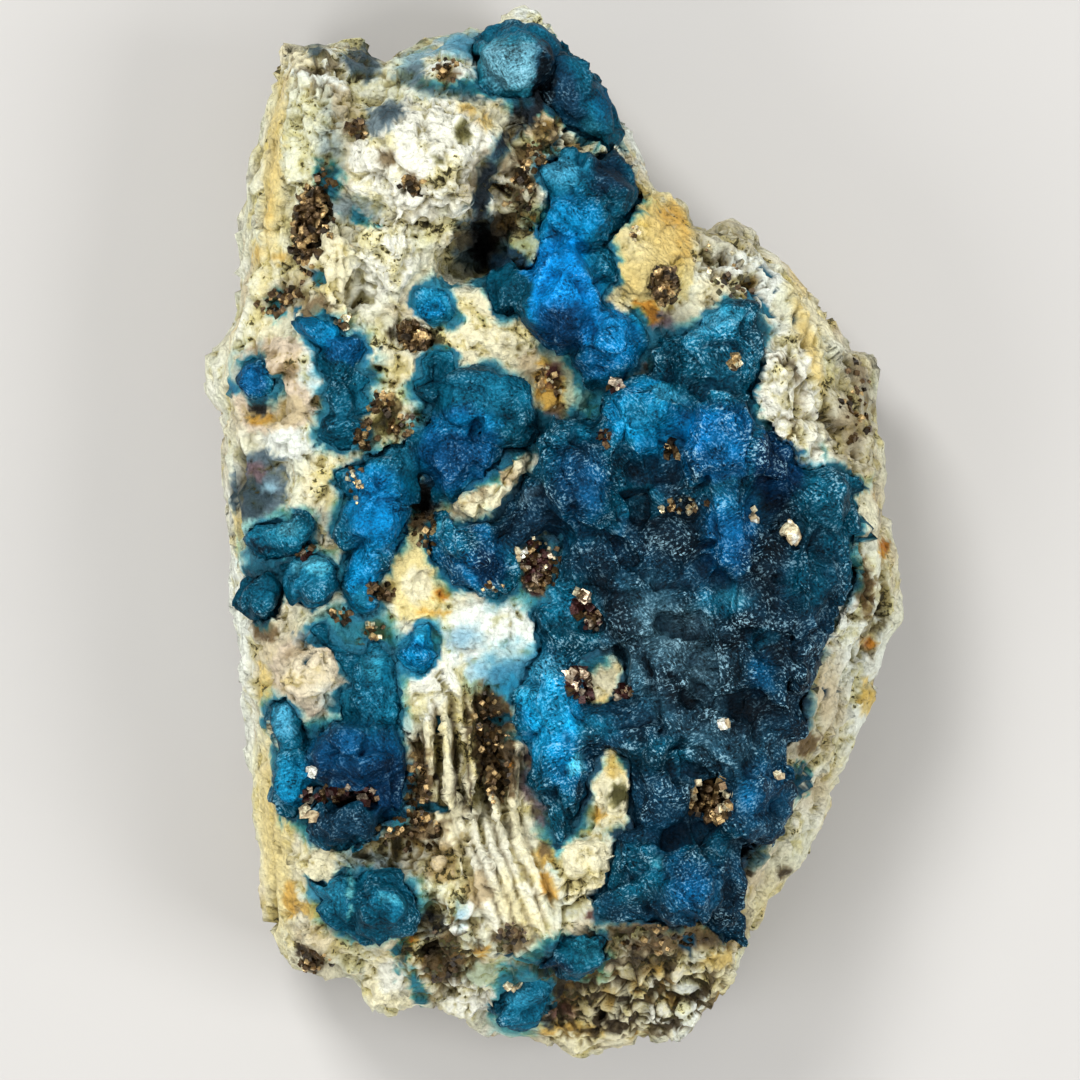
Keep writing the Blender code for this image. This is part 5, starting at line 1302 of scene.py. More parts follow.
BLUES: list[tuple[Shade, Patch]] = [
    # Crest and upper chain.
    (Shade.HAZE, Patch(-4.8, 53.6, 4.6, 4, 0, 0.95, 1.5)),
    (Shade.TEAL, Patch(-4.6, 57.2, 5, 1.3, 0, 0.9, 1)), (Shade.DEEP_TEAL, Patch(4, 49, 3.4, 6, 25, 1, 1)),
    (Shade.GREY_BLUE, Patch(4.8, 46.4, 1.8, 2.2, 25, 0.6, 1.2)),
    (Shade.NAVY, Patch(0.8, 50.6, 1.8, 5, 20, 1, 1)), (Shade.INK, Patch(-1.2, 50.6, 1.3, 3.8)),
    (Shade.TEAL, Patch(3.6, 53, 1.6, 1.4, 0, 0.8, 1)),
    (Shade.COBALT, Patch(5.4, 48.4, 1.4, 2.4, 0, 0.5, 1)), (Shade.TEAL, Patch(1, 40.4, 3.2, 3)),
    (Shade.SKY, Patch(0.2, 41.2, 2.6, 2, 0, 0.8, 1.2)), (Shade.NAVY, Patch(6.2, 40.4, 2, 3.4, 0, 1, 1)),
    (Shade.DEEP_TEAL, Patch(6.6, 37.6, 1.6, 1.4)), (Shade.AZURE, Patch(2, 35.6, 5, 2.8, 0, 1, 1)),
    (Shade.DEEP_TEAL, Patch(6.4, 36.6, 1.6, 1.6, 0, 0.8)),
    (Shade.ROYAL, Patch(0.8, 28.6, 4.8, 5.4, 0, 1, 1)),
    (Shade.INDIGO, Patch(1.2, 23.4, 3.6, 2.6, 0, 0.95, 1)), (Shade.TEAL, Patch(5.2, 31, 1.6, 3, 0, 0.9, 1)),
    (Shade.DEEP_TEAL, Patch(-4.8, 27.8, 2.2, 2.6, 0, 0.9)),
    (Shade.ROYAL, Patch(6.2, 22.2, 3.8, 4.4, 0, 0.75, 1.2)),
    (Shade.COBALT, Patch(4.2, 19.4, 2, 1.8, 0, 0.7)),
    # Arch.
    (Shade.DEEP_TEAL, Patch(-13.4, 17.4, 2.4, 3.6, 0, 1, 1)),
    (Shade.TEAL, Patch(-7.6, 15.4, 5.4, 3.4, 0, 1, 1)),
    (Shade.DEEP_TEAL, Patch(-4.4, 13, 2, 2.2, 0, 0.8, 1)),
    (Shade.COBALT, Patch(-10.8, 9.6, 4.6, 4.8, 0, 1, 1)),
    (Shade.INDIGO, Patch(-12, 8.6, 3.4, 2.6, 0, 0.5, 1.5)),
    (Shade.AZURE, Patch(-10.4, 12.6, 3.6, 1, 0, 0.7)), (Shade.TEAL, Patch(-18.4, 7.2, 3.6, 2.4, 0, 0.8, 1)),
    (Shade.AZURE, Patch(-21, 6.4, 2.4, 1.4, 0, 0.7)),
    (Shade.ROYAL, Patch(-20, 2.6, 3.4, 4.4, 0, 0.75, 1.5)), (Shade.AZURE, Patch(-21.6, -4.4, 2, 4)),
    (Shade.TEAL, Patch(-22, -7.4, 1.2, 1.6)),
    # The great mass.
    (Shade.NAVY, Patch(16, -18, 18, 30, 0, 0.9, 3)), (Shade.INK, Patch(20, -14, 7, 10, 0, 0.5, 3)),
    (Shade.INK, Patch(13, 1, 4, 5, 0, 0.6, 2)), (Shade.DEEP_TEAL, Patch(3, 6.2, 4.8, 6.8, 0, 0.9, 1)),
    (Shade.INDIGO, Patch(2.4, 6, 3, 5, 0, 0.7, 2)), (Shade.COBALT, Patch(4.2, 5.4, 1.6, 3, 0, 0.8, 1.2)),
    (Shade.TEAL, Patch(1, 11.2, 2.8, 1.4, 0, 0.7)), (Shade.AZURE, Patch(10.2, 13.4, 4.6, 4.4, 0, 1, 1)),
    (Shade.SKY, Patch(13, 16.2, 2, 1.2, 0, 0.8)), (Shade.SKY, Patch(9.6, 13.8, 2.6, 2.2, 0, 0.45, 1.5)),
    (Shade.TEAL, Patch(7, 10, 1.8, 1.2, 0, 0.8)), (Shade.COBALT, Patch(18.4, 10.4, 4.6, 4.8, 0, 1, 1)),
    (Shade.ROYAL, Patch(16.4, 12.2, 1.8, 2.2, 0, 0.7, 1)),
    (Shade.DEEP_TEAL, Patch(18.6, 5.4, 4, 0.9, 0, 0.9, 0.5)), (Shade.TEAL, Patch(22.8, 9, 0.9, 4, 0, 0.8)),
    (Shade.COBALT, Patch(19.8, 0.4, 3.4, 5, 0, 1, 0.8)), (Shade.TEAL, Patch(19.4, 3.8, 3, 1.2, 0, 0.5, 1)),
    (Shade.INDIGO, Patch(21.6, -1.6, 1.2, 2.8, 0, 0.5, 1)),
    (Shade.ROYAL, Patch(19.6, 0.6, 2.2, 2.6, 0, 0.15, 1.2)),
    (Shade.TEAL, Patch(17.8, 20, 5.4, 5.2, 0, 1, 1)), (Shade.SKY, Patch(18.8, 24.4, 3.6, 1.2, 15, 0.7)),
    (Shade.DEEP_TEAL, Patch(14.4, 18.2, 2.4, 2, 0, 0.8)), (Shade.INDIGO, Patch(25.2, 8, 2.8, 4.6)),
    (Shade.DEEP_TEAL, Patch(30.4, 2.8, 3.6, 4.4, 0, 0.9, 1)),
    (Shade.TEAL, Patch(31, 5.4, 2.4, 1.4, 0, 0.6)), (Shade.COBALT, Patch(-10, -2, 4.2, 4, 0, 0.8, 1)),
    (Shade.POWDER, Patch(-12.6, 0.8, 1.6, 1, 0, 0.6)), (Shade.TEAL, Patch(-11, -0.6, 2.4, 1.8, 0, 0.8)),
    (Shade.INDIGO, Patch(-7.4, -3.8, 1.8, 2, 0, 0.8)), (Shade.NAVY, Patch(-3, 2, 4, 4, 0, 1, 1)),
    (Shade.MAUVE, Patch(-2.8, 4.8, 2, 1, 30, 0.5)), (Shade.DEEP_TEAL, Patch(1.6, -9.4, 3.4, 4.8, 0, 1, 1)),
    (Shade.TEAL, Patch(0.4, -7, 2, 2.4, 0, 0.8)), (Shade.DEEP_TEAL, Patch(9, 3.8, 3, 1.6, 0, 0.7)),
    (Shade.GREY_BLUE, Patch(12.4, -13, 6, 9, 40, 0.7, 3)),
    (Shade.GREY_BLUE, Patch(18, -24, 6, 4, 0, 0.4, 3)),
    (Shade.INK, Patch(13.4, -17.4, 4, 1.6, -50, 0.7, 1)), (Shade.INK, Patch(24, -3, 2, 6, -20, 0.7, 1.5)),
    (Shade.INK, Patch(6.6, -8, 1.4, 5, 25, 0.7, 1)), (Shade.INK, Patch(22, -19, 1.6, 4, -30, 0.7, 1)),
    (Shade.TEAL, Patch(19.4, -7.4, 3, 1.7, 0, 0.9, 1)), (Shade.HAZE, Patch(20.4, -7, 1.6, 0.8, 0, 0.5, 1)),
    (Shade.GREY_BLUE, Patch(15.6, -9, 2.6, 1.2, 0, 0.5, 1)),
    (Shade.TEAL, Patch(23, -11.5, 1.4, 1.2, 0, 0.7)),
    (Shade.COBALT, Patch(23.2, -15.8, 1.6, 2.2, 0, 0.7, 1)),
    (Shade.DEEP_TEAL, Patch(28.4, -5, 2.6, 3.4, 0, 0.8, 1)),
    (Shade.DEEP_TEAL, Patch(10.6, -24.6, 3.6, 2, 0, 0.7, 1)),
    (Shade.TEAL, Patch(4, -21.6, 3, 1.6, 0, 0.9, 1)), (Shade.DEEP_TEAL, Patch(9, -38, 3.4, 3.8, 0, 0.9, 1)),
    (Shade.POWDER, Patch(11.4, -36.6, 1.1, 0.6, 0, 0.6)),
    (Shade.AZURE, Patch(15.2, -38.6, 3.4, 4.2, 0, 0.5, 1.2)),
    (Shade.COBALT, Patch(15.4, -39, 2.6, 3.4, 0, 0.6, 1)),
    (Shade.ROYAL, Patch(15.4, -39.6, 1.4, 1.6, 0, 0.5, 1)),
    (Shade.COBALT, Patch(23, -28.6, 2.6, 3.6, -20, 0.6, 1)),
    (Shade.DEEP_TEAL, Patch(17.6, -34.6, 3.4, 2, 0, 0.7, 1)),
    (Shade.DEEP_TEAL, Patch(6, -18, 1.6, 1, 0, 0.5)),
    # Strip.
    (Shade.AZURE, Patch(-0.6, -20, 3.2, 6.4, 0, 1, 1)),
    (Shade.SKY, Patch(-0.6, -20, 2.4, 5.4, 0, 0.4, 1.5)),
    (Shade.SKY, Patch(-3.4, -15.6, 2.2, 2.8, 0, 0.6, 1)), (Shade.SKY, Patch(-0.4, -14.4, 2, 1.2, 0, 0.7)),
    (Shade.AZURE, Patch(1.2, -26, 2.2, 3.4, 0, 0.8, 1)),
    (Shade.DEEP_TEAL, Patch(0.6, -31.6, 2.2, 2.6, 0, 1, 1)),
    (Shade.POWDER, Patch(2.6, -25.6, 0.9, 1.4, 0, 0.7)),
    # Lower left.
    (Shade.INDIGO, Patch(-22.4, -25.6, 5.6, 4, 0, 0.9, 1)),
    (Shade.COBALT, Patch(-23.6, -23.6, 3.6, 2.4, 0, 0.6, 1.2)),
    (Shade.COBALT, Patch(-20.6, -23.2, 3.2, 2.2, 0, 0.8, 1)), (Shade.INDIGO, Patch(-19, -28.6, 2.4, 3.6)),
    (Shade.NAVY, Patch(-23.6, -32.4, 4.4, 2.6, 0, 0.9, 1)),
    (Shade.DEEP_TEAL, Patch(-24, -13.2, 3.8, 3.4, 0, 1, 1)),
    (Shade.TEAL, Patch(-20.4, -17.4, 2.6, 4.8, 0, 0.9, 1)),
    (Shade.POWDER, Patch(-20.6, -14.6, 1.2, 1.4, 0, 0.4)), (Shade.SKY, Patch(-30.6, -21, 1.6, 2.4, 0, 0.9)),
    (Shade.TEAL, Patch(-29.8, -25, 1.6, 2.2)), (Shade.AZURE, Patch(-29.6, -28, 2, 2.8, 0, 0.8)),
    (Shade.SKY, Patch(-30, -26.6, 1.8, 2.8, 0, 0.4, 1)),
    (Shade.TEAL, Patch(-19.6, -41.4, 4.2, 3.4, 0, 0.6, 1)),
    (Shade.SKY, Patch(-25.6, -40.2, 2, 1.8, 0, 0.6, 0.8)),
    (Shade.SNOW, Patch(-23, -41.6, 0.4, 2.4, 0, 0.7, 0.3)),
    (Shade.POWDER, Patch(-18.4, -40.8, 1.2, 0.5, -20, 0.6)),
    (Shade.DEEP_TEAL, Patch(-20.4, -43.6, 2.4, 1.8)),
    # Small ones along the left and at the foot.
    (Shade.TEAL, Patch(-27.6, -5, 3, 3.2)), (Shade.POWDER, Patch(-27.6, -3.4, 2, 1, 0, 0.6)),
    (Shade.DEEP_TEAL, Patch(-33.2, -7.2, 2.6, 2.6)), (Shade.TEAL, Patch(-33.4, -6.4, 1.2, 1, 0, 0.7)),
    (Shade.TEAL, Patch(-31, 0, 4, 2.2, 0, 0.8)), (Shade.HAZE, Patch(-30.6, 0.4, 3, 1.4, 0, 0.3, 1.5)),
    (Shade.INK, Patch(-33.2, -1.6, 1, 0.7, 0, 0.8)), (Shade.GREY_BLUE, Patch(-29.4, 0.8, 1.4, 0.8, 0, 0.5)),
    (Shade.AZURE, Patch(-26.6, 22.8, 3.4, 2.4, 0, 0.9)), (Shade.COBALT, Patch(-23.2, 21, 2.4, 1.6)),
    (Shade.DEEP_TEAL, Patch(-23.8, 14.2, 3, 4)), (Shade.COBALT, Patch(-34, 17.6, 1.8, 2)),
    (Shade.AZURE, Patch(-15.6, -12.4, 2.6, 3.2)), (Shade.SKY, Patch(-15, -10.6, 1, 1, 0, 0.6)),
    (Shade.AZURE, Patch(-13.8, 26.2, 2, 1.8)), (Shade.TEAL, Patch(-4, -53, 3, 3.4)),
    (Shade.SKY, Patch(-4.4, -52.4, 1.4, 1, 0, 0.6)), (Shade.DEEP_TEAL, Patch(3, -47.2, 2.8, 1.9)),
    (Shade.HAZE, Patch(3.8, -46.8, 2.2, 1.7, 0, 0.5, 1)), (Shade.NAVY, Patch(-0.2, -48.6, 1.4, 1)),
]


@dataclass
class BlueCrystals:
    """One body of crystals grown together: rounded faces, etched steps and a satin skin."""

    node: str
    voxel: float = 0.34
    grow: float = 0.25
    shrink: float = 0.0
    soften: int = 3
    wave: float = 0.2
    block_width: float = 4.2
    block_height: float = 1.35
    step_turn: float = 50.0
    step_width: tuple[float, float, float] = (3.4, 1.0, 1.4)
    step_height: float = 0.3
    crest_width: tuple[float, float, float] = (6.0, 1.8, 3.0)
    crest_height: float = 0.15
    edge_fade: float = 0.6
    frost: float = 0.25
    mottle: float = 0.25
    sculpture: Sculpture | None = field(default=None, init=False)
    colours: np.ndarray | None = field(default=None, init=False)

    def build(self, finish: bpy.types.Material, bed: Bed) -> bpy.types.Object:
        """Shapes, paints and places the body.

        Args:
            finish: The blue finish.
            bed: The marble's level round the body.

        Returns:
            The finished piece.
        """
        self.sculpture = Sculpture.from_arrays(self.node, *solid_of(self.node, self.grow))
        self.sculpture.changed_by("REMESH", mode="VOXEL", voxel_size=self.voxel * MM)
        self.sculpture.softened(self.soften)
        self.carve()
        self.dress(bed)
        return self.sculpture.placed(f"{self.node}_crystals", finish, "afghanite", [self.node])

    def carve(self) -> None:
        """Moves the points out and in to make the relief."""
        points, normals = self.sculpture.points, self.sculpture.normals
        blocks = Cells.around(points, self.block_width, 5).facets(7, 0.7)
        along = turned(points, self.step_turn)
        steps = Cells.around(along, self.step_width, 9).facets(3, 0.9)
        crests = 0.4 - np.abs(waves(along, self.crest_width, 25))
        relief = (
            self.wave * rough_waves(points, 4.2, 3, 4)
            + self.block_height * blocks
            + self.step_height * steps
            + self.crest_height * crests
            - self.shrink
        )
        self.sculpture.points = points + normals * relief[:, None]
        self.sculpture.softened(1)

    def dress(self, bed: Bed) -> None:
        """Paints the colour, lighter on faces that turn up as painted light, the frosting, and painted shade
        in the hollows.

        Args:
            bed: The marble's level, near which the crystals turn pale.
        """
        points, normals = self.sculpture.points, self.sculpture.normals
        ragged = 0.9 * rough_waves(points, 3.0, 17, 4)
        ground = np.tile(Shade.DEEP_TEAL.linear, (len(points), 1))
        colours = painted(points, ground, BLUES, 17)
        streaks = waves(turned(points, self.step_turn), (9.0, 3.0, 5.0), 19) + waves(points, 2.2, 29)
        colours *= np.exp(self.mottle * streaks)[:, None]
        # Painted light: faces that turn up stay lighter and the flanks are painted darker.
        colours *= (0.72 + 0.28 * smooth_step(normals[:, 2]))[:, None]
        height = points[:, 2] - bed.level(points)
        low = smooth_step(1.0 - (height + 3.0 * ragged) / 1.5)
        colours = stained(colours, Shade.SKY.linear, self.edge_fade * low)
        # Painted shade: the hollow value darkens the colour in the crystals' hollows, and less frost shows
        # there.
        near, wide = self.sculpture.hollows(3), self.sculpture.hollows(16)
        frost = self.frost + 0.9 * rough_waves(points, 4.4, 77) - 0.6 * wide
        self.colours = colours
        self.sculpture.paint("tint", colours)
        self.sculpture.paint("frost", np.clip(frost, 0.0, 1.0))
        self.sculpture.paint("hollow", np.clip(near * 1.8 + wide * 0.9, 0.0, 0.8))


@dataclass
class Marble:
    """The stone itself: a granular face with lobes, lamellae and pits, and broken sides."""

    voxel: float = 0.4
    side_points: int = 24000
    back_points: int = 1500
    grow: float = 0.5
    under: float = 0.6
    soften: int = 2
    wave: float = 0.8
    grain_width: float = 1.3
    grain_height: float = 0.3
    lump_width: float = 4.4
    lump_height: float = 1.0
    knob_width: float = 2.3
    knob_height: float = 0.75
    lamella_width: float = 1.7
    lamella_height: float = 1.3
    pit_width: float = 2.6
    pit_depth: float = 2.0
    fillet: float = 1.2
    fillet_reach: float = 1.8
    back_level: float = 0.3
    face_level: float = 15.0
    stain_depth: float = 3.0
    sculpture: Sculpture | None = field(default=None, init=False)

    def build(self, finish: bpy.types.Material, bed: Bed, skins: Skins) -> bpy.types.Object:
        """Shapes, paints and places the stone.

        Args:
            finish: The marble finish.
            bed: The level up to which it fills the room under the crystals.
            skins: The blue surfaces that it touches.

        Returns:
            The finished piece.
        """
        solids = [solid_of("matrix")]
        for name in sorted(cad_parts):
            if name != "matrix":
                points, faces = solid_of(name, self.grow)
                points[:, 2] = np.minimum(points[:, 2], bed.level(points)) - self.under
                solids.append((points, faces))
        solids += [lump.solid(bed) for lump in LUMPS]
        self.sculpture = Sculpture.from_arrays("matrix", *joined(solids))
        self.sculpture.changed_by("REMESH", mode="VOXEL", voxel_size=self.voxel * MM)
        self.thin_hidden()
        self.sculpture.softened(self.soften)
        away, stain = skins.near(self.sculpture.points, 5.0)
        cracks = self.carve(away)
        self.dress(bed, away, stain, cracks)
        return self.sculpture.placed("marble", finish, "marble", ["matrix"])

    def thin_hidden(self) -> None:
        """Keeps the fine points on the face, fewer on the sides and few on the flat back."""
        back = self.sculpture.points[:, 2] < self.back_level
        self.sculpture.thinned(back, self.back_points)
        front = (self.sculpture.normals[:, 2] > 0.2) & (self.sculpture.points[:, 2] > self.face_level)
        self.sculpture.thinned(~front, self.side_points)

    def lamellae(self, points: np.ndarray) -> np.ndarray:
        """Thin upright leaves that fan down the stone.

        Args:
            points: Rows of x, y and z.

        Returns:
            The height at each point, from about -0.5 between the leaves to 0.5 on them.
        """
        drop = points[:, 1] + 30.0
        fan = np.where(drop > 0.0, 0.12, 0.36) * drop
        lean = points[:, 0] + np.where(points[:, 0] > 20.0, -0.32 * points[:, 1], fan)
        bend = 0.5 * waves(points, (5.0, 14.0, 9.0), 41) + 0.2 * waves(points, (1.6, 3.0, 3.0), 43)
        turn = (lean / self.lamella_width + bend) * math.tau
        broken = 0.85 + 0.4 * waves(points, (1.5, 3.2, 3.0), 47)
        return 0.5 * np.cos(turn) * broken

    def carve(self, away: np.ndarray) -> np.ndarray:
        """Moves the points out and in to make the relief.

        Args:
            away: How far each point lies from the crystals, below 0 inside them.

        Returns:
            How much each point lies in a crack between lumps, from 0 to 1.
        """
        points, normals = self.sculpture.points, self.sculpture.normals
        ragged = 1.2 * rough_waves(points, 4.0, 21)
        zones = {zone: most_of(patches, points, ragged) for zone, patches in ZONES.items()}
        face = smooth_step((normals[:, 2] - 0.05) / 0.4) * smooth_step((points[:, 2] - 14.0) / 5.0)
        back = smooth_step((-normals[:, 2] - 0.5) / 0.3)
        shift = 0.5 * np.stack([rough_waves(points, 2.2, seed) for seed in (13, 15, 17)], axis=1)
        grains = Cells.around(points + shift, self.grain_width, 1)
        knobs = Cells.around(points + 1.6 * shift, self.knob_width, 2)
        lumps = Cells.around(points + 2.4 * shift, self.lump_width, 8)
        pits = Cells.around(points + 2.0 * shift, self.pit_width, 4)
        rocks = Cells.around(points + 3.0 * shift, (4.5, 9.0, 3.2), 6)
        sugar = 0.6 * grains.domes() + 0.7 * grains.facets(5)
        pit = (pits.lot(8) < 0.35) * smooth_step((0.55 - pits.near) / 0.3)
        calm = 1.0 - 0.7 * zones[Zone.SMOOTH]
        open_cracks = smooth_step(0.5 + 1.6 * rough_waves(points, 6.0, 27))
        joints = np.maximum(lumps.gaps(), 0.8 * zones[Zone.COARSE] * knobs.gaps())
        cracks = joints * np.maximum(open_cracks * calm, zones[Zone.OPEN])
        on_face = (
            self.wave * rough_waves(points, 5.0, 2, 4)
            + self.lump_height * calm * lumps.facets(3, 0.7)
            + self.grain_height * sugar
            + self.knob_height * zones[Zone.COARSE] * knobs.facets(6, 0.8)
            + self.lamella_height * zones[Zone.LAMELLAR] * self.lamellae(points)
            - (0.5 + 0.5 * zones[Zone.OPEN]) * cracks
            - self.pit_depth * zones[Zone.PITTED] * pit
        )
        on_side = (
            1.1 * rocks.facets(9, 0.9) + 0.5 * rough_waves(points, 4.0, 33, 4) + 0.3 * sugar
        )
        relief = face * on_face + (1.0 - face) * (1.0 - back) * on_side
        clear = smooth_step((away + 0.1) / 1.0)
        relief = np.where(relief > 0.0, relief * clear, relief)
        relief -= back * 0.25 * (1.0 + rough_waves(points, 3.0, 35)) + 0.4 * (away < -0.3)
        moved = points + normals * relief[:, None]
        moved[:, 2] += face * self.fillet * smooth_step(1.0 - np.abs(away) / self.fillet_reach)
        moved[:, 2] = np.maximum(moved[:, 2], 0.0)
        self.sculpture.points = moved
        return np.maximum(cracks, zones[Zone.PITTED] * pit)

    def ground(self) -> np.ndarray:
        """Mixes the pale tones of the stone, with rust on its broken sides.

        Returns:
            The colour of each point before the stains.
        """
        points, normals = self.sculpture.points, self.sculpture.normals
        colours = np.tile(Shade.PALE_GREEN.linear, (len(points), 1))
        for shade, width, seed in ((Shade.CREAM, 7.0, 51), (Shade.WHITE, 5.0, 53), (Shade.TAN, 9.0, 55)):
            share = smooth_step(rough_waves(points, width, seed, 4) * 1.6 + 0.2)[:, None]
            colours += 0.8 * share * (shade.linear - colours)
        side = smooth_step((0.35 - normals[:, 2]) / 0.3)
        streaks = waves(points, (3.0, 16.0, 2.2), 57) + 0.5 * waves(points, (1.2, 7.0, 1.0), 59)
        rust = side * smooth_step(streaks * 1.5 - 0.2) * 0.6
        colours += rust[:, None] * (Shade.OCHRE.linear - colours)
        dusk = side * smooth_step(-streaks * 1.5 - 0.3) * 0.7
        return colours + dusk[:, None] * (Shade.GREY.linear - colours)

    def dress(self, bed: Bed, away: np.ndarray, stain: np.ndarray, cracks: np.ndarray) -> None:
        """Paints the colour, the specks and painted shade in the hollows.

        Args:
            bed: The marble's level, well under which no stain of the face shows.
            away: How far each point lies from the crystals, which stain the marble round them.
            stain: The colour of the nearest crystal.
            cracks: How much each point lies in a crack, from 0 to 1.
        """
        points = self.sculpture.points
        ragged = ragged_edges(points, 61)
        edged = painted(points, self.ground(), EDGES, 69)
        depth = bed.level(points) - points[:, 2]
        shown = smooth_step((-depth + self.stain_depth + 1.5 * ragged) / 2.0)[:, None]
        colours = edged + shown * (painted(points, edged, STAINS, 65) - edged)
        grooves = smooth_step(-2.0 * self.lamellae(points) - 0.1)
        dark = grooves * Patch(-9.6, -25.0, 5.4, 6.4, 5, 0.9, 1.5).mask(points, ragged)
        dark = np.maximum(dark, grooves * Patch(-5.6, -38.0, 4.6, 8.0, 18, 0.25, 1.5).mask(points, ragged))
        colours = stained(colours, Shade.UMBER.linear, dark)
        deep = smooth_step(1.7 * cracks - 0.35) * most_of(ZONES[Zone.OPEN], points, ragged)
        colours = stained(colours, Shade.UMBER.linear, 0.85 * deep)
        rusty = smooth_step(rough_waves(points, 3.4, 67) * 2.2 - 0.1) * smooth_step(2.5 * deep)
        colours = stained(colours, Shade.OCHRE.linear, 0.55 * rusty)
        reach = 0.9 + 4.0 * rough_waves(points, 5.0, 63, 4)
        tinge = smooth_step(1.0 - (away + 0.5 * ragged - 0.1) / np.maximum(reach, 0.25))
        colours = stained(colours, Shade.SKY.linear, 0.5 * tinge)
        colours = stained(colours, stain, 0.85 * smooth_step(2.0 * tinge - 1.0))
        # Painted shade: the hollow value, smaller near the crystals, darkens the marble's colour in its
        # hollows.
        near, wide = self.sculpture.hollows(3), self.sculpture.hollows(18)
        clear = 0.4 + 0.6 * smooth_step(away / 1.5)
        speck = most_of(ZONES[Zone.SPECKED], points, 1.6 * ragged)
        calm = most_of(ZONES[Zone.SMOOTH], points, ragged)
        self.sculpture.paint("tint", colours)
        self.sculpture.paint("speck", np.clip(speck + 0.8 * cracks - 0.4 * calm - 0.6 * tinge, -0.6, 1.6))
        self.sculpture.paint("hollow", np.clip((near * 1.1 + wide * 0.45) * clear, 0.0, 0.9))


class Grain(Enum):
    """The kinds of small grains, each with the colours that it is drawn from."""

    GOLD = (Shade.GOLD, Shade.CREAM, Shade.BROWN)
    BRONZE = (Shade.GOLD, Shade.BROWN, Shade.BROWN, Shade.UMBER)
    MAROON = (Shade.MAROON, Shade.MAROON, Shade.BROWN, Shade.PINK_TAN)
    DARK = (Shade.UMBER, Shade.OLIVE, Shade.BROWN)
    PALE = (Shade.CREAM, Shade.SNOW, Shade.TAN)

    @property
    def metal(self) -> bool:
        """Whether the grain is pyrite."""
        return self in (Grain.GOLD, Grain.BRONZE, Grain.MAROON)


@dataclass(frozen=True)
class Sprinkle:
    """A number of grains of one kind and size in one place."""

    kind: Grain
    count: int
    size: float
    patch: Patch


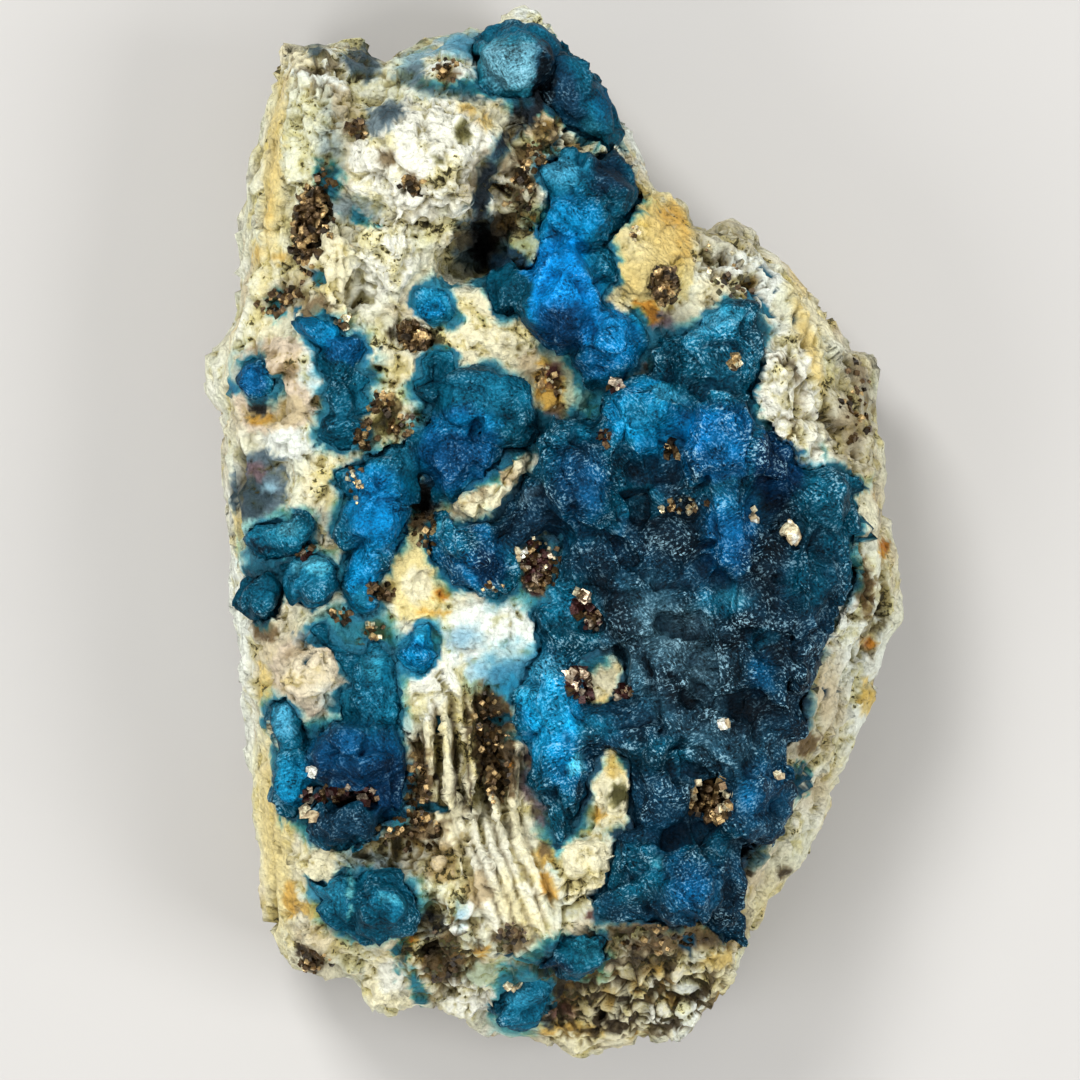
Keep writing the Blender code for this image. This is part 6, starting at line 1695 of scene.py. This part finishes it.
SPRINKLES = [
    Sprinkle(Grain.PALE, 4, 0.9, Patch(22.3, 2.2, 0.3, 0.6)),
    Sprinkle(Grain.PALE, 4, 0.8, Patch(19.1, -21.1, 0.25, 0.3)),
    Sprinkle(Grain.PALE, 6, 0.7, Patch(-4.5, -51, 1.2, 0.3)),
    Sprinkle(Grain.PALE, 6, 0.7, Patch(-3.8, -1.9, 0.7, 0.5)),
    Sprinkle(Grain.PALE, 5, 0.8, Patch(-27.3, -26.4, 0.3, 0.4)),
    Sprinkle(Grain.PALE, 8, 0.9, Patch(-27.9, -31.3, 0.7, 0.6)),
    Sprinkle(Grain.PALE, 6, 0.8, Patch(25.2, -27, 0.5, 0.5)),
    Sprinkle(Grain.GOLD, 24, 0.7, Patch(-0.6, 17, 1.3, 2.4)),
    Sprinkle(Grain.MAROON, 10, 0.8, Patch(6.6, 17, 1, 0.8)),
    Sprinkle(Grain.BRONZE, 110, 0.65, Patch(-27.2, 35, 1.7, 5, -10, 1, 0.8)),
    Sprinkle(Grain.BRONZE, 20, 0.6, Patch(-22.3, 45.8, 1.2, 1)),
    Sprinkle(Grain.BRONZE, 25, 0.6, Patch(-16, 39.5, 1.4, 1.2)),
    Sprinkle(Grain.GOLD, 14, 0.6, Patch(-23.5, 24.2, 1.2, 0.9)),
    Sprinkle(Grain.BRONZE, 40, 0.65, Patch(-16, 22.4, 2, 1.4, -15)),
    Sprinkle(Grain.BRONZE, 45, 0.6, Patch(-31, 26.6, 3, 1.4, 20)),
    Sprinkle(Grain.BRONZE, 30, 0.6, Patch(-19.6, 15, 1.4, 1.2)),
    Sprinkle(Grain.BRONZE, 35, 0.6, Patch(-21.4, 11.4, 1.2, 1.6)),
    Sprinkle(Grain.BRONZE, 30, 0.55, Patch(-17, 12.4, 2, 1.2)),
    Sprinkle(Grain.BRONZE, 45, 0.7, Patch(12.3, 28.2, 1.2, 1.6)),
    Sprinkle(Grain.GOLD, 16, 0.5, Patch(8.8, 34.2, 0.9, 0.8)),
    Sprinkle(Grain.GOLD, 12, 0.5, Patch(18.2, 31, 2.6, 2.6)),
    Sprinkle(Grain.DARK, 26, 0.5, Patch(20.5, 28.4, 2.4, 1.8)),
    Sprinkle(Grain.GOLD, 14, 0.7, Patch(20.4, 19.6, 0.9, 0.8)),
    Sprinkle(Grain.BRONZE, 44, 0.55, Patch(34, 15, 2, 4.6)),
    Sprinkle(Grain.BRONZE, 22, 0.6, Patch(12.8, 9.6, 1.2, 1.1)),
    Sprinkle(Grain.MAROON, 18, 0.6, Patch(5.7, 11.2, 0.8, 1)),
    Sprinkle(Grain.GOLD, 26, 0.55, Patch(14.4, 3.4, 2.4, 0.8)),
    Sprinkle(Grain.BRONZE, 30, 0.6, Patch(-12.3, 52.4, 1.2, 1.6)),
    Sprinkle(Grain.BRONZE, 26, 0.5, Patch(-2.2, 43.2, 1.4, 1.4, 30)),
    Sprinkle(Grain.BRONZE, 30, 0.6, Patch(-3.2, 40.6, 1.4, 1.8)),
    Sprinkle(Grain.GOLD, 60, 0.75, Patch(17.4, -29.6, 2, 2.2, 0, 1, 0.6)),
    Sprinkle(Grain.BRONZE, 30, 0.7, Patch(17.4, -30.4, 2.2, 2)),
    Sprinkle(Grain.MAROON, 34, 0.9, Patch(3.6, -8.8, 1.2, 2.2, 25)),
    Sprinkle(Grain.GOLD, 10, 0.7, Patch(3, -7, 1, 0.8)),
    Sprinkle(Grain.MAROON, 46, 0.9, Patch(2.8, -16.6, 1.4, 1.9, 30)),
    Sprinkle(Grain.MAROON, 26, 0.7, Patch(7.6, -17.8, 1.3, 0.9)),
    Sprinkle(Grain.MAROON, 70, 0.6, Patch(-2.2, -3.4, 1.7, 2.6)),
    Sprinkle(Grain.GOLD, 60, 0.5, Patch(-1.6, -3.2, 2.2, 3)),
    Sprinkle(Grain.BRONZE, 26, 0.6, Patch(-19.8, -6.4, 1.4, 1.2)),
    Sprinkle(Grain.GOLD, 18, 0.55, Patch(-20.4, -10.6, 1.2, 1.1)),
    Sprinkle(Grain.BRONZE, 14, 0.6, Patch(-24.2, -9, 1, 0.8)),
    Sprinkle(Grain.GOLD, 16, 0.5, Patch(-22.8, 6.2, 1, 2.6)),
    Sprinkle(Grain.BRONZE, 30, 0.55, Patch(-14.8, 0.4, 1.4, 2.4)),
    Sprinkle(Grain.MAROON, 12, 0.6, Patch(-28.2, -1.9, 0.8, 0.7)),
    Sprinkle(Grain.MAROON, 60, 0.7, Patch(-24, -29.3, 4.2, 1)),
    Sprinkle(Grain.BRONZE, 110, 0.5, Patch(-7.2, -23.6, 2, 6.4, 6)),
    Sprinkle(Grain.BRONZE, 60, 0.6, Patch(-15.4, -28.6, 1.4, 4.6)),
    Sprinkle(Grain.BRONZE, 60, 0.5, Patch(-16.4, -33.6, 3.6, 2)),
    Sprinkle(Grain.BRONZE, 34, 0.5, Patch(12.4, -45.6, 5, 1.6, 3)),
    Sprinkle(Grain.DARK, 40, 0.55, Patch(-13, -47.4, 2.4, 3.2)),
    Sprinkle(Grain.BRONZE, 30, 0.55, Patch(-27.4, -48.4, 2, 1.6)),
    Sprinkle(Grain.DARK, 24, 0.5, Patch(-4.8, -45.4, 1.8, 1.8)),
    Sprinkle(Grain.GOLD, 10, 0.45, Patch(-7.2, -5.6, 1.4, 0.8)),
    Sprinkle(Grain.BRONZE, 26, 0.5, Patch(-4, 38.6, 1.8, 3)),
]


@dataclass
class Grains:
    """Small broken cubes scattered over the stone, joined in one piece for each finish."""

    seed: int = 7
    sink: float = 0.02
    least: float = 0.45
    spread: float = 0.75
    shear: float = 0.35
    places: np.ndarray = field(init=False)
    normals: np.ndarray = field(init=False)

    def gather(self, sculptures: list[Sculpture], bed: Bed) -> None:
        """Collects the open points that grains can sit on.

        Args:
            sculptures: The surfaces of the stone and the crystals.
            bed: The marble's level, to leave out what lies under it.
        """
        places = np.concatenate([sculpture.points for sculpture in sculptures])
        normals = np.concatenate([sculpture.normals for sculpture in sculptures])
        tree = tree_of(*joined([(one.points, one.triangles()) for one in sculptures]))
        up = Vector((0.0, 0.0, 1.0))
        facing = (normals[:, 2] > 0.15) & (places[:, 2] > bed.level(places) - 5.0)
        places, normals = places[facing], normals[facing]
        seen = np.array([
            tree.ray_cast(Vector(point) + 0.05 * up, up)[0] is None for point in places
        ])
        self.places, self.normals = places[seen], normals[seen]

    def build(self, metal: bool, finish: bpy.types.Material, name: str, slot: str) -> bpy.types.Object:
        """Makes all the grains of one finish.

        Args:
            metal: Whether the pyrite is made, or the other grains.
            finish: The finish.
            name: The piece's name.
            slot: The record's material slot.

        Returns:
            The finished piece.
        """
        draw = np.random.default_rng(self.seed + metal)
        chosen, sizes, shades = [], [], []
        for sprinkle in SPRINKLES:
            if sprinkle.kind.metal == metal:
                weight = sprinkle.patch.mask(self.places)
                rows = draw.choice(len(weight), sprinkle.count, p=weight / weight.sum())
                chosen.append(rows)
                sizes.append(sprinkle.size * (self.least + self.spread * draw.random(sprinkle.count)))
                palette = np.array([shade.linear for shade in sprinkle.kind.value])
                shades.append(palette[draw.integers(0, len(palette), sprinkle.count)])
        rows, size, shade = np.concatenate(chosen), np.concatenate(sizes), np.concatenate(shades)
        corners = np.array(list(itertools.product((-0.5, 0.5), repeat=3)))
        sides = np.array([
            (0, 1, 3, 2), (4, 6, 7, 5), (0, 4, 5, 1), (2, 3, 7, 6), (0, 2, 6, 4), (1, 5, 7, 3)
        ])
        frames, _ = np.linalg.qr(draw.normal(size=(len(rows), 3, 3)))
        frames[:, :, 0] *= np.sign(np.linalg.det(frames))[:, None]
        frames = frames + self.shear * (draw.random((len(rows), 3, 3)) - 0.5) * (not metal)
        shapes = np.einsum("ij,njk->nik", corners, frames) * size[:, None, None]
        middles = self.places[rows] + self.normals[rows] * (size * self.sink)[:, None]
        points = (shapes + middles[:, None]).reshape(-1, 3)
        faces = (sides[None] + 8 * np.arange(len(rows))[:, None, None]).reshape(-1, 4)
        sculpture = Sculpture.from_arrays(name, points, faces)
        sculpture.paint("tint", np.repeat(shade, 8, axis=0))
        return sculpture.placed(name, finish, slot, [], smooth=False)


@dataclass
class Cluster:
    """A small body of its own that is crusted with grains: a patch of pyrite, or a loose chip."""

    node: str
    kind: Grain
    slot: str
    voxel: float = 0.2
    grain_width: float = 0.85
    grain_height: float = 0.75
    sculpture: Sculpture | None = field(default=None, init=False)

    def build(self, finish: bpy.types.Material) -> bpy.types.Object:
        """Shapes, paints and places the body.

        Args:
            finish: Its finish.

        Returns:
            The finished piece.
        """
        self.sculpture = Sculpture.from_arrays(self.node, *solid_of(self.node))
        self.sculpture.changed_by("REMESH", mode="VOXEL", voxel_size=self.voxel * MM)
        self.sculpture.softened(3)
        points, normals = self.sculpture.points, self.sculpture.normals
        grains = Cells.around(points, self.grain_width, 3)
        relief = self.grain_height * (grains.facets(4, 0.9) - 0.4 * grains.gaps())
        self.sculpture.points = points + normals * relief[:, None]
        palette = np.array([shade.linear for shade in self.kind.value])
        colours = palette[(grains.lot(21) * len(palette)).astype(int)]
        # Painted shade: the colour darkens in the hollows between the grains.
        colours *= (1.0 - 0.7 * np.clip(self.sculpture.hollows(4) * 4.0, 0.0, 1.0))[:, None]
        self.sculpture.paint("tint", colours)
        return self.sculpture.placed(f"{self.node}_grains", finish, self.slot, [self.node], smooth=False)


@dataclass(frozen=True)
class Studio:
    """The camera over the stone, the pale floor and the soft lights."""

    camera_height: float = 1250.0
    focus_height: float = 25.0
    framing: float = 122.73
    centre: tuple[float, float] = (-1.705, -0.455)
    room_light: float = 0.52
    sensor: float = 36.0
    floor_half: float = 3.0
    floor_colour: tuple[float, float, float, float] = (0.43, 0.42, 0.405, 1.0)

    def build(self) -> None:
        """Makes the camera, the floor and the lights."""
        scene = bpy.context.scene
        camera = bpy.data.cameras.new("camera")
        camera.sensor_width = self.sensor
        camera.lens = self.sensor * (self.camera_height - self.focus_height) / self.framing
        camera.clip_start = 0.05
        holder = bpy.data.objects.new("camera", camera)
        holder.location = (self.centre[0] * MM, self.centre[1] * MM, self.camera_height * MM)
        scene.collection.objects.link(holder)
        scene.camera = holder
        self.floor()
        self.light("key_light", (-0.30, 0.52, 0.82), 0.3, 8.0)
        self.light("fill_light", (0.60, -0.20, 0.70), 0.45, 6.2)
        self.light("low_light", (-0.55, -0.40, 0.65), 0.5, 4.2)
        world = bpy.data.worlds.new("room")
        world.use_nodes = True
        world.node_tree.nodes["Background"].inputs["Color"].default_value = (1.0, 1.0, 1.0, 1.0)
        world.node_tree.nodes["Background"].inputs["Strength"].default_value = self.room_light
        scene.world = world
        scene.view_settings.view_transform = "Standard"

    def floor(self) -> None:
        """Makes the plain pale floor."""
        mesh = bpy.data.meshes.new("floor")
        half = self.floor_half
        corners = [(-half, -half, 0), (half, -half, 0), (half, half, 0), (-half, half, 0)]
        mesh.from_pydata(corners, [], [(0, 1, 2, 3)])
        floor = bpy.data.objects.new("floor", mesh)
        bpy.context.scene.collection.objects.link(floor)
        board = Board("floor_finish")
        mesh.materials.append(board.finish({}, Base_Color=self.floor_colour, Roughness=0.9))

    def light(self, name: str, place: tuple[float, float, float], size: float, power: float) -> None:
        """Makes one square soft light that faces the stone.

        Args:
            name: The light's name.
            place: Where it stands, in metres.
            size: The length of its side, in metres.
            power: Its power in watts.
        """
        lamp = bpy.data.lights.new(name, "AREA")
        lamp.size = size
        lamp.energy = power
        holder = bpy.data.objects.new(name, lamp)
        holder.location = place
        holder.rotation_euler = (-Vector(place)).to_track_quat("-Z", "Y").to_euler()
        bpy.context.scene.collection.objects.link(holder)


def main() -> None:
    """Builds the specimen piece by piece."""
    logging.basicConfig(level=logging.INFO, format="%(name)s %(message)s")
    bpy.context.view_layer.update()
    Studio().build()

    blue_names = [name for name in sorted(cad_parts) if name.startswith("afghanite")]
    others = [name for name in sorted(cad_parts) if name != "matrix"]
    bed = Bed(tree_of(*solid_of("matrix")), tree_of(*joined([solid_of(name) for name in others])))

    blue = BlueFinish().material()
    bodies = [
        BlueCrystals(
            name, voxel=0.38, grow=1.2, shrink=1.0, soften=4, wave=0.8, block_width=5.5,
            block_height=1.4, step_width=(5.0, 1.5, 2.0), step_height=0.35, crest_height=0.7,
            edge_fade=0.3, frost=0.6, mottle=0.6,
        ) if name == "afghanite_main" else BlueCrystals(name)
        for name in blue_names
    ]
    for body in bodies:
        body.build(blue, bed)
    points, faces = joined([(body.sculpture.points, body.sculpture.triangles()) for body in bodies])
    skins = Skins(points, faces, np.concatenate([body.colours for body in bodies]))

    marble = Marble()
    marble.build(MarbleFinish().material(), bed, skins)

    pyrite = GrainFinish("pyrite_finish", 0.6, 0.12).material()
    mineral = GrainFinish("mineral_finish", 0.0, 0.35).material()
    for name in others:
        if name.startswith("pyrite"):
            kind = Grain.MAROON if "chain" in name or "centre" in name else Grain.BRONZE
            Cluster(name, kind, "pyrite").build(pyrite)
    Cluster("calcite_chip", Grain.PALE, "calcite", grain_width=1.8, grain_height=0.3).build(mineral)

    grains = Grains()
    grains.gather([marble.sculpture] + [body.sculpture for body in bodies], bed)
    grains.build(True, pyrite, "pyrite_grains", "pyrite")
    grains.build(False, mineral, "mineral_grains", "marble")


if __name__ == "__main__":
    main()
